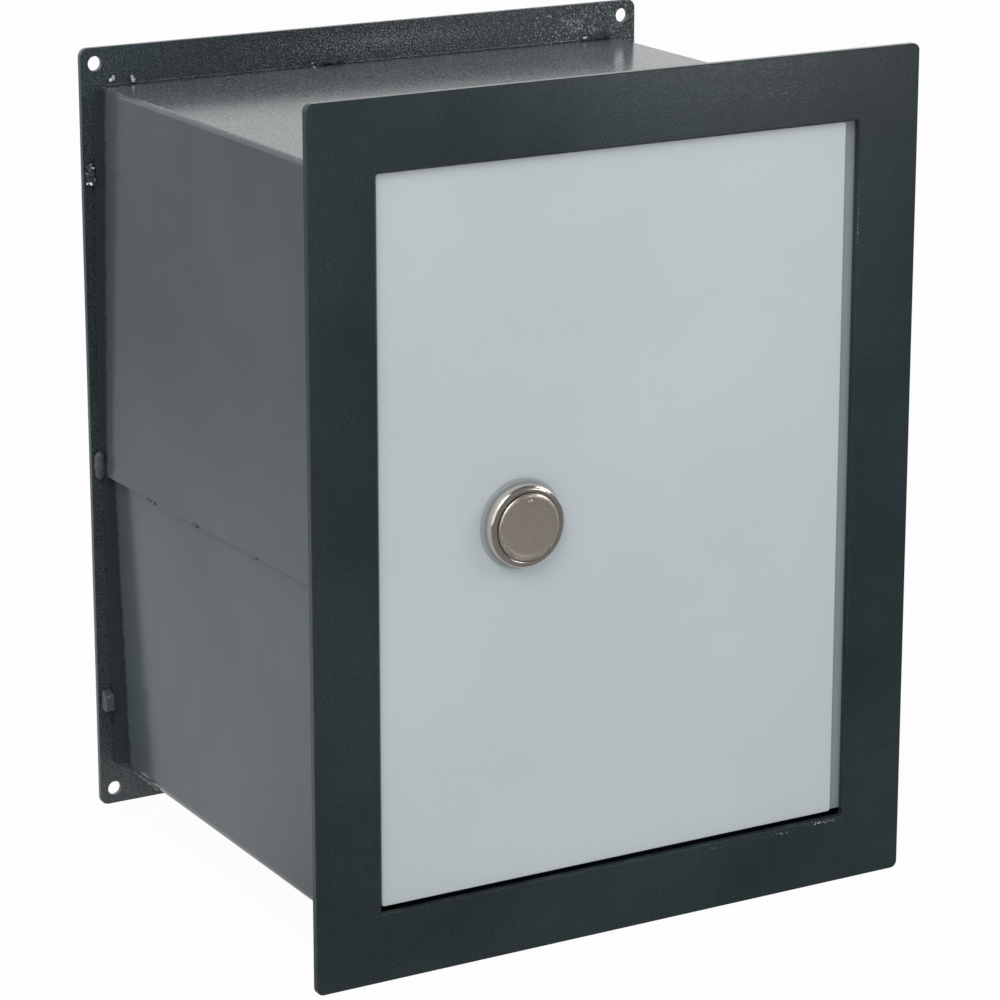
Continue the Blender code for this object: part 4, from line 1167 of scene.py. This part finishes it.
@dataclass
class WeldWork:
    """The welds round the body's rear end, the bead on its bend and the seam's tacks."""

    shop: MeshShop
    side_x: float = 160.8
    plate_y: float = -4.6
    corner_y: float = -3.35
    corner_z: float = 182.9
    corner_half: float = 150.0
    corner_steps: int = 75
    corner_sides: int = 8
    block: tuple[Pair, Pair, Pair] = ((157.4, 162.8), (-9.0, -3.1), (-149.0, -138.0))
    block_slope: float = 2.2
    block_arris: float = 0.9
    bar_z: Pair = (-19.0, -11.5)
    seam_z: float = -21.0
    seam_x: Pair = (152.9, 157.4)
    body_front: float = -255.7
    tack_places: tuple[Pair, ...] = ((-62.0, 5.0), (-108.0, 1.8), (-172.0, 1.8))

    def row(self, weld: WeldRow, seed: float) -> None:
        """Builds one weld from drops that run into each other.

        Args:
            weld: the weld.
            seed: shifts the noise.
        """
        builder = bmesh.new()
        start, end = Vector(weld.start), Vector(weld.end)
        for step in range(weld.drops):
            sway = Vector([weld.wander * math.sin(seed + step * (1.7 + 0.6 * k))
                           for k in range(3)])
            grow = 0.85 + 0.3 * abs(math.sin(seed * 1.3 + step * 2.1))
            spot = start.lerp(end, step / max(1, weld.drops - 1)) + sway
            self.shop.nugget(builder, spot, [size * grow for size in weld.drop],
                             seed + step, weld.rough)
        self.shop.piece(weld.name, builder, weld.finish)

    def side(self, side: int, label: str) -> None:
        """Builds the welds beside one leg of the body, and the small block under them.

        Args:
            side: -1 on the left and 1 on the right.
            label: the side's word in names.
        """
        x = side * self.side_x
        y = self.plate_y - 0.3
        self.row(WeldRow(f"weld_{label}_upper", "weld_bright", (x, y, 134.0), (x, y, 141.0),
                         (2.3, 1.9, 2.2), 3, 0.5, 0.42), 3.1 * side)
        y = self.plate_y - 0.8
        low, high = self.bar_z
        self.row(WeldRow(f"weld_{label}_middle", "weld_smooth", (x, y, low), (x, y, high),
                         (2.8, 2.4, 3.9), 3, 0.15, 0.06), 5.2 * side)
        across, (front, back), (foot, top) = self.block
        near, far = sorted(side * value for value in across)
        block = bmesh.new()
        bmesh.ops.create_cube(block, size=1.0)
        for corner in block.verts:
            x, y, z = (low if way < 0.0 else high for way, (low, high) in
                       zip(corner.co, ((near, far), (front, back), (foot, top))))
            drop = self.block_slope if (y, z) == (front, top) else 0.0
            corner.co = metres((x, y, z - drop))
        self.shop.piece(f"weld_{label}_block", block, "weld_grey", arris=self.block_arris)

    def tacks(self, side: int, label: str) -> None:
        """Builds the short tacks that hold the two sheets along their seam.

        Args:
            side: -1 on the left and 1 on the right.
            label: the side's word in names.
        """
        near, far = self.seam_x
        for count, (y, half) in enumerate(self.tack_places):
            x = side * (near + (far - near) * (y - self.body_front) / -self.body_front)
            drops = 2 + count % 2 + int(half > 2.0)
            self.row(WeldRow(f"seam_tack_{label}_{count + 1}", "weld_seam",
                             (x, y - half, self.seam_z), (x, y + half, self.seam_z),
                             (1.3, 1.6, 1.3), drops, 0.2), 2.7 + count)

    def corner_line(self) -> None:
        """Builds the thin line of paint that fills the corner over the body."""
        sections = []
        for step in range(self.corner_steps + 1):
            x = self.corner_half * (2.0 * step / self.corner_steps - 1.0)
            swell = 0.45 + 0.25 * noise.noise(Vector((x * 0.09, 3.0, 1.0)))
            ring = self.shop.circle((self.corner_y, self.corner_z), swell,
                                    self.corner_sides)
            sections.append([(x, y, z) for y, z in ring])
        self.shop.piece("corner_fillet", self.shop.loft(sections), "plate_paint")

    def build(self) -> None:
        """Builds all welds."""
        for side, label in ((-1, "left"), (1, "right")):
            self.side(side, label)
            self.tacks(side, label)
        y = self.plate_y + 0.6
        z = self.corner_z + 0.6
        rows = (
            WeldRow("weld_top_left", "weld_spark", (-148.5, y, z + 1.5),
                    (-147.0, y, z + 3.2), (0.9, 0.8, 1.1)),
            WeldRow("weld_top_second", "weld_spark", (-136.5, y, z + 2.2),
                    (-135.4, y, z + 1.0), (0.8, 0.8, 1.0)),
            WeldRow("weld_top_middle", "weld_painted", (-35.0, y, z),
                    (-16.5, y, z + 0.9), (1.9, 1.3, 1.3), 9, 0.5, 0.4),
            WeldRow("weld_top_right", "weld_painted", (133.0, y, z),
                    (145.5, y, z + 0.6), (2.2, 1.5, 1.6), 6, 0.5, 0.4),
            WeldRow("weld_top_drip", "weld_spark", (-34.2, y - 0.9, z + 0.6),
                    (-33.8, y - 2.6, z - 0.3), (0.6, 1.0, 0.5)),
            WeldRow("weld_top_spark", "weld_spark", (131.6, y - 0.8, z + 0.9),
                    (132.6, y - 0.8, z + 0.3), (0.9, 0.9, 0.7)),
            *(WeldRow(f"weld_bead_{label}", "weld_raw", (side * 147.3, -10.0, -184.6),
                      (side * 147.6, -38.0, -184.7), (0.8, 1.9, 0.8), 11, 0.25, 0.35)
              for side, label in ((-1, "left"), (1, "right"))),
        )
        for count, weld in enumerate(rows):
            self.row(weld, 7.3 + 1.9 * count)
        self.corner_line()


@dataclass
class DoorLeaf:
    """The pale sheet of the door, and the darker leaf behind it."""

    shop: MeshShop
    left: float = -131.7
    right: float = 128.0
    foot: float = -177.7
    top: float = 179.3
    front: float = -256.8
    back: float = -255.3
    corner: float = 1.5
    arris: float = 0.45
    lock_centre: Pair = (-55.0, 2.5)
    lock_hole: float = 11.0

    def build(self) -> None:
        """Builds the sheet, the leaf behind it and the band round its back."""
        outline = self.shop.rounded_outline(self.left, self.right, self.foot, self.top,
                                            self.corner)
        hole = self.shop.circle(self.lock_centre, self.lock_hole, 64)
        sheet = self.shop.sheet(outline, (hole,), self.front, self.back)
        self.shop.piece("door_face", sheet, "door_pale", Body.DOOR, "door_skin", self.arris)
        self.shop.refined("door_plate", "door_backing", "strip_grey", Body.DOOR, self.arris)
        self.shop.refined("door_rim", "door_band", "inner_grey", Body.DOOR, self.arris)


@dataclass
class LockFurniture:
    """The flange, collar, disc and rivet on the door, and the barrel behind them.

    Each profile gives radius and y.
    """

    shop: MeshShop
    x: float = -55.0
    lock_z: float = 2.5
    rivet_z: float = 15.0
    flange: tuple[Pair, ...] = (
        (11.0, -257.1), (22.2, -257.1), (22.3, -257.2), (22.27, -257.35), (22.15, -257.6),
        (21.95, -257.78), (21.6, -257.87), (21.2, -257.9), (11.0, -257.9), (11.0, -257.1))
    collar: tuple[Pair, ...] = (
        (11.0, -258.2), (20.3, -258.2), (20.5, -258.4), (20.5, -261.9), (20.48, -262.25),
        (20.4, -262.6), (20.27, -262.92), (20.08, -263.22), (19.8, -263.5),
        (19.45, -263.74), (19.05, -263.92), (18.6, -264.03), (18.1, -264.08),
        (17.5, -264.1), (17.2, -264.0), (17.05, -263.75), (17.0, -262.6), (11.3, -262.6),
        (11.0, -262.4), (11.0, -258.2))
    disc: tuple[Pair, ...] = (
        (0.0, -264.4), (16.4, -264.4), (16.6, -264.52), (16.58, -264.75), (16.42, -265.0),
        (16.15, -265.24), (15.8, -265.43), (15.35, -265.56), (14.9, -265.6),
        (14.5, -265.58), (14.2, -265.52), (12.0, -265.48), (6.0, -265.44), (0.0, -265.42))
    shank: tuple[Pair, ...] = ((0.0, -261.9), (1.0, -261.9), (1.0, -265.55), (1.5, -265.55))
    dome_foot: float = -265.62
    dome_radius: float = 1.5
    dome_height: float = 0.5
    dome_steps: int = 6

    def rivet(self) -> tuple[Pair, ...]:
        """The profile of the domed rivet that the disc hangs on.

        Returns:
            Radius and y, from the shank to the top of the dome.
        """
        turns = [QUARTER_TURN * step / self.dome_steps for step in range(1, self.dome_steps)]
        dome = [(self.dome_radius * math.cos(a),
                 self.dome_foot - self.dome_height * math.sin(a)) for a in turns]
        return (*self.shank, *dome, (0.0, self.dome_foot - self.dome_height))

    def build(self) -> None:
        """Builds the lock's front pieces, and refines or dresses the rest."""
        door = Body.DOOR
        for name, profile, z, steps, finish, body, node in (
                ("lock_flange", self.flange, self.lock_z, 128, "flange_painted_shade", door,
                 "lock_washer"),
                ("lock_collar", self.collar, self.lock_z, 128, "dull_nickel", door,
                 "lock_rosette"),
                ("keyhole_disc", self.disc, self.lock_z, 96, "disc_nickel", Body.COVER,
                 "key_cover"),
                ("disc_rivet", self.rivet(), self.rivet_z, 32, "disc_nickel", door,
                 "cover_rivet")):
            turned = self.shop.turned(profile, (self.x, z), steps=steps)
            self.shop.piece(name, turned, finish, body, node)
        for node, name, finish, body, arris in (
                ("lock_body", "lock_barrel", "lock_brass", door, 0.25),
                ("lock_nut", "clamping_nut", "screw_steel", door, 0.25),
                ("rack_guide", "arm_guide", "bar_steel", door, 0.25),
                ("lock_plug", "keyway_plug", "dull_nickel", Body.PLUG, 0.15)):
            self.shop.refined(node, name, finish, body, arris)
        self.shop.dress_node("drive_pinion", "lock_brass")


@dataclass
class BoltWork:
    """The three round bolts and the bar that carries them."""

    shop: MeshShop
    radius: float = 7.0
    tip: float = -130.9
    tail: float = -95.7
    y: float = -239.0
    places: tuple[tuple[str, float], ...] = (("upper", 84.5), ("middle", 2.5),
                                             ("lower", -79.5))

    def build(self) -> None:
        """Builds the bolts with chamfered tips, and refines the carriage."""
        radius, tip, tail = self.radius, self.tip, self.tail
        profile = [(0.0, tip), (radius - 1.1, tip), (radius - 0.9, tip + 0.1),
                   (radius - 0.1, tip + 0.95), (radius, tip + 1.2), (radius, tail - 0.3),
                   (radius - 0.3, tail), (0.0, tail)]
        for label, z in self.places:
            bar = self.shop.turned(profile, (self.y, z), Axis.X, 72)
            self.shop.piece(f"round_bolt_{label}", bar, "bolt_steel", Body.BOLTS,
                            f"bolt_{label}")
        self.shop.refined("bolt_carriage", "bolt_bar", "bar_steel", Body.BOLTS, 0.15)


@dataclass
class InnerFittings:
    """What shows inside the open safe: node, piece and the endings of their names."""

    shop: MeshShop
    ends: tuple[str, ...] = ("_upper", "_lower")
    screws: tuple[str, ...] = ("_1", "_2", "_3", "_4")
    arris: float = 0.45
    fine_arris: float = 0.15

    def build(self) -> None:
        """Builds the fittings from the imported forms, with rounded arrises."""
        paint = ("fitting_paint", Body.SAFE, self.arris)
        grey = ("inner_grey", Body.DOOR, self.arris)
        steel = ("screw_steel", Body.DOOR, self.fine_arris)
        for node, name, endings, look in (
                ("hinge_bracket", "hinge_arm", self.ends, paint),
                ("bolt_keeper", "keeper_angle", ("",), paint),
                ("door_stop", "stop_block", self.ends, paint),
                ("inner_cover", "works_cover", ("",), grey),
                ("hinge_knuckle", "hinge_ears", self.ends, grey),
                ("hinge_pin", "headed_pin", self.ends, steel),
                ("cover_screw", "slotted_screw", self.screws, steel)):
            for ending in endings:
                self.shop.refined(node + ending, name + ending, *look)


# Studio


@dataclass
class Studio:
    """The floor, the soft lamps, the white surroundings and the camera, in metres."""

    floor_z: float = -0.2153
    floor_half: float = 6.0
    camera_place: Point = (-0.9461, -1.7827, 0.5254)
    yaw: float = 29.961
    pitch: float = 15.253
    lens: float = 139.40
    shift_up: float = -0.06
    fill: float = 0.5
    dim_front: float = 0.14
    dim_top: float = 0.1
    dim_far: float = 0.4
    # dim_under is painted shade in the floor's reflected glow, close round the object.
    dim_under: float = 0.25
    dim_way: Point = (0.45, -0.89, 0.0)
    floor_tone: Colour = (0.97, 0.97, 0.97)
    floor_glow: float = 0.96
    middle: Point = (0.0, -0.13, 0.0)

    @staticmethod
    def seen(graph: Graph) -> tuple[Value, Value]:
        """Tells the rays that show the background, straight on or in a reflection.

        Args:
            graph: the graph to add to.

        Returns:
            1 for the camera's own rays, and 1 for all rays that show the background.
        """
        path = graph.add("ShaderNodeLightPath")
        camera, glossy, clear = (Value(graph, path.outputs[f"Is {kind} Ray"])
                                 for kind in ("Camera", "Glossy", "Transmission"))
        either = graph.math("MAXIMUM", camera, glossy)
        return camera, graph.math("MAXIMUM", either, clear)

    def floor(self) -> None:
        """Lays the floor, white to the camera but with a soft shadow."""
        builder = bmesh.new()
        bmesh.ops.create_grid(builder, x_segments=4, y_segments=4, size=self.floor_half)
        bmesh.ops.translate(builder, vec=(0.0, 0.0, self.floor_z), verts=builder.verts[:])
        mesh = bpy.data.meshes.new("studio_floor")
        builder.to_mesh(mesh)
        builder.free()
        plane = put("studio_floor", mesh)
        material = bpy.data.materials.new("studio_floor")
        graph = Graph.of(material)
        camera, shown = self.seen(graph)
        place = graph.value("ShaderNodeTexCoord", "Object")
        ahead = graph.vector("DOT_PRODUCT", place, self.dim_way)
        reach = graph.vector("LENGTH", place)
        # In reflections the floor glows: graded dimmer in front and far off, and painted darker
        # close round the object as the shade under it.
        room = (graph.spread(ahead, 0.3, -0.1, self.dim_front, 1.0)
                * graph.spread(reach, 0.3, 1.6, 0.75, self.dim_far)
                * graph.spread(reach, 0.15, 0.24, self.dim_under, 1.0))
        glow = graph.value("ShaderNodeEmission", 0, {
            "Color": WHITE, "Strength": graph.math("MAXIMUM", room, camera)})
        matte = graph.value("ShaderNodeBsdfDiffuse", 0, {"Color": self.floor_tone})
        mix = graph.value("ShaderNodeMixShader", 0, {0: shown * self.floor_glow, 1: matte,
                                                     2: glow})
        graph.add("ShaderNodeOutputMaterial", {"Surface": mix})
        mesh.materials.append(material)

    def surroundings(self) -> None:
        """Sets white surroundings that are dimmer in front of the object."""
        world = bpy.data.worlds.new("studio")
        graph = Graph.of(world)
        camera, shown = self.seen(graph)
        way = graph.value("ShaderNodeTexCoord", "Generated")
        up = graph.value("ShaderNodeSeparateXYZ", 2, {0: way})
        ahead = graph.vector("DOT_PRODUCT", way, self.dim_way)
        room = (graph.spread(ahead, 0.75, 0.3, self.dim_front, 1.0)
                * graph.spread(up, 0.45, 0.75, 1.0, self.dim_top))
        backdrop = graph.math("MAXIMUM", room, camera)
        level = graph.spread(shown, 0.0, 1.0, self.fill, backdrop, False)
        light = graph.value("ShaderNodeBackground", 0, {"Color": WHITE, "Strength": level})
        graph.add("ShaderNodeOutputWorld", {"Surface": light})
        bpy.context.scene.world = world

    def lamp(self, name: str, place: Point, size: Pair, power: float) -> None:
        """Hangs one soft lamp that points at the object's middle.

        Args:
            name: its name.
            place: where it hangs.
            size: its width and height.
            power: its power in watts.
        """
        data = bpy.data.lights.new(name, "AREA")
        data.shape = "RECTANGLE"
        data.size, data.size_y = size
        data.energy = power
        thing = put(name, data)
        thing.location = place
        way = Vector(self.middle) - Vector(place)
        thing.rotation_euler = way.to_track_quat("-Z", "Y").to_euler()

    def camera(self) -> None:
        """Places the camera at the photograph's viewpoint."""
        data = bpy.data.cameras.new("studio_camera")
        data.lens = self.lens
        data.sensor_width = 36.0
        data.shift_y = self.shift_up
        data.clip_end = 60.0
        thing = put("studio_camera", data)
        thing.location = self.camera_place
        thing.rotation_euler = (math.radians(90.0 - self.pitch), 0.0,
                                math.radians(-self.yaw))
        bpy.context.scene.camera = thing

    def build(self) -> None:
        """Sets up the whole studio: a wide lamp over the left front, two weaker right."""
        self.floor()
        self.surroundings()
        self.lamp("soft_key", (-1.45, -1.75, 2.1), (1.6, 1.6), 41.0)
        self.lamp("soft_right", (1.95, -1.35, 1.0), (0.9, 0.9), 13.5)
        self.lamp("soft_fill", (1.1, -1.87, -0.02), (0.3, 0.2), 0.85)
        self.camera()
        bpy.context.scene.view_settings.view_transform = "Standard"


def main() -> None:
    """Builds the studio and every sub-assembly."""
    logging.basicConfig(level=logging.INFO, format="%(message)s")
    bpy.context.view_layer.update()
    Studio().build()
    shop = MeshShop(SafeFinishes().build())
    for part in (FrontSurround(shop), RearFlange(shop), BodyShells(shop), WeldWork(shop),
                 DoorLeaf(shop), LockFurniture(shop), BoltWork(shop), InnerFittings(shop)):
        part.build()


if __name__ == "__main__":
    main()
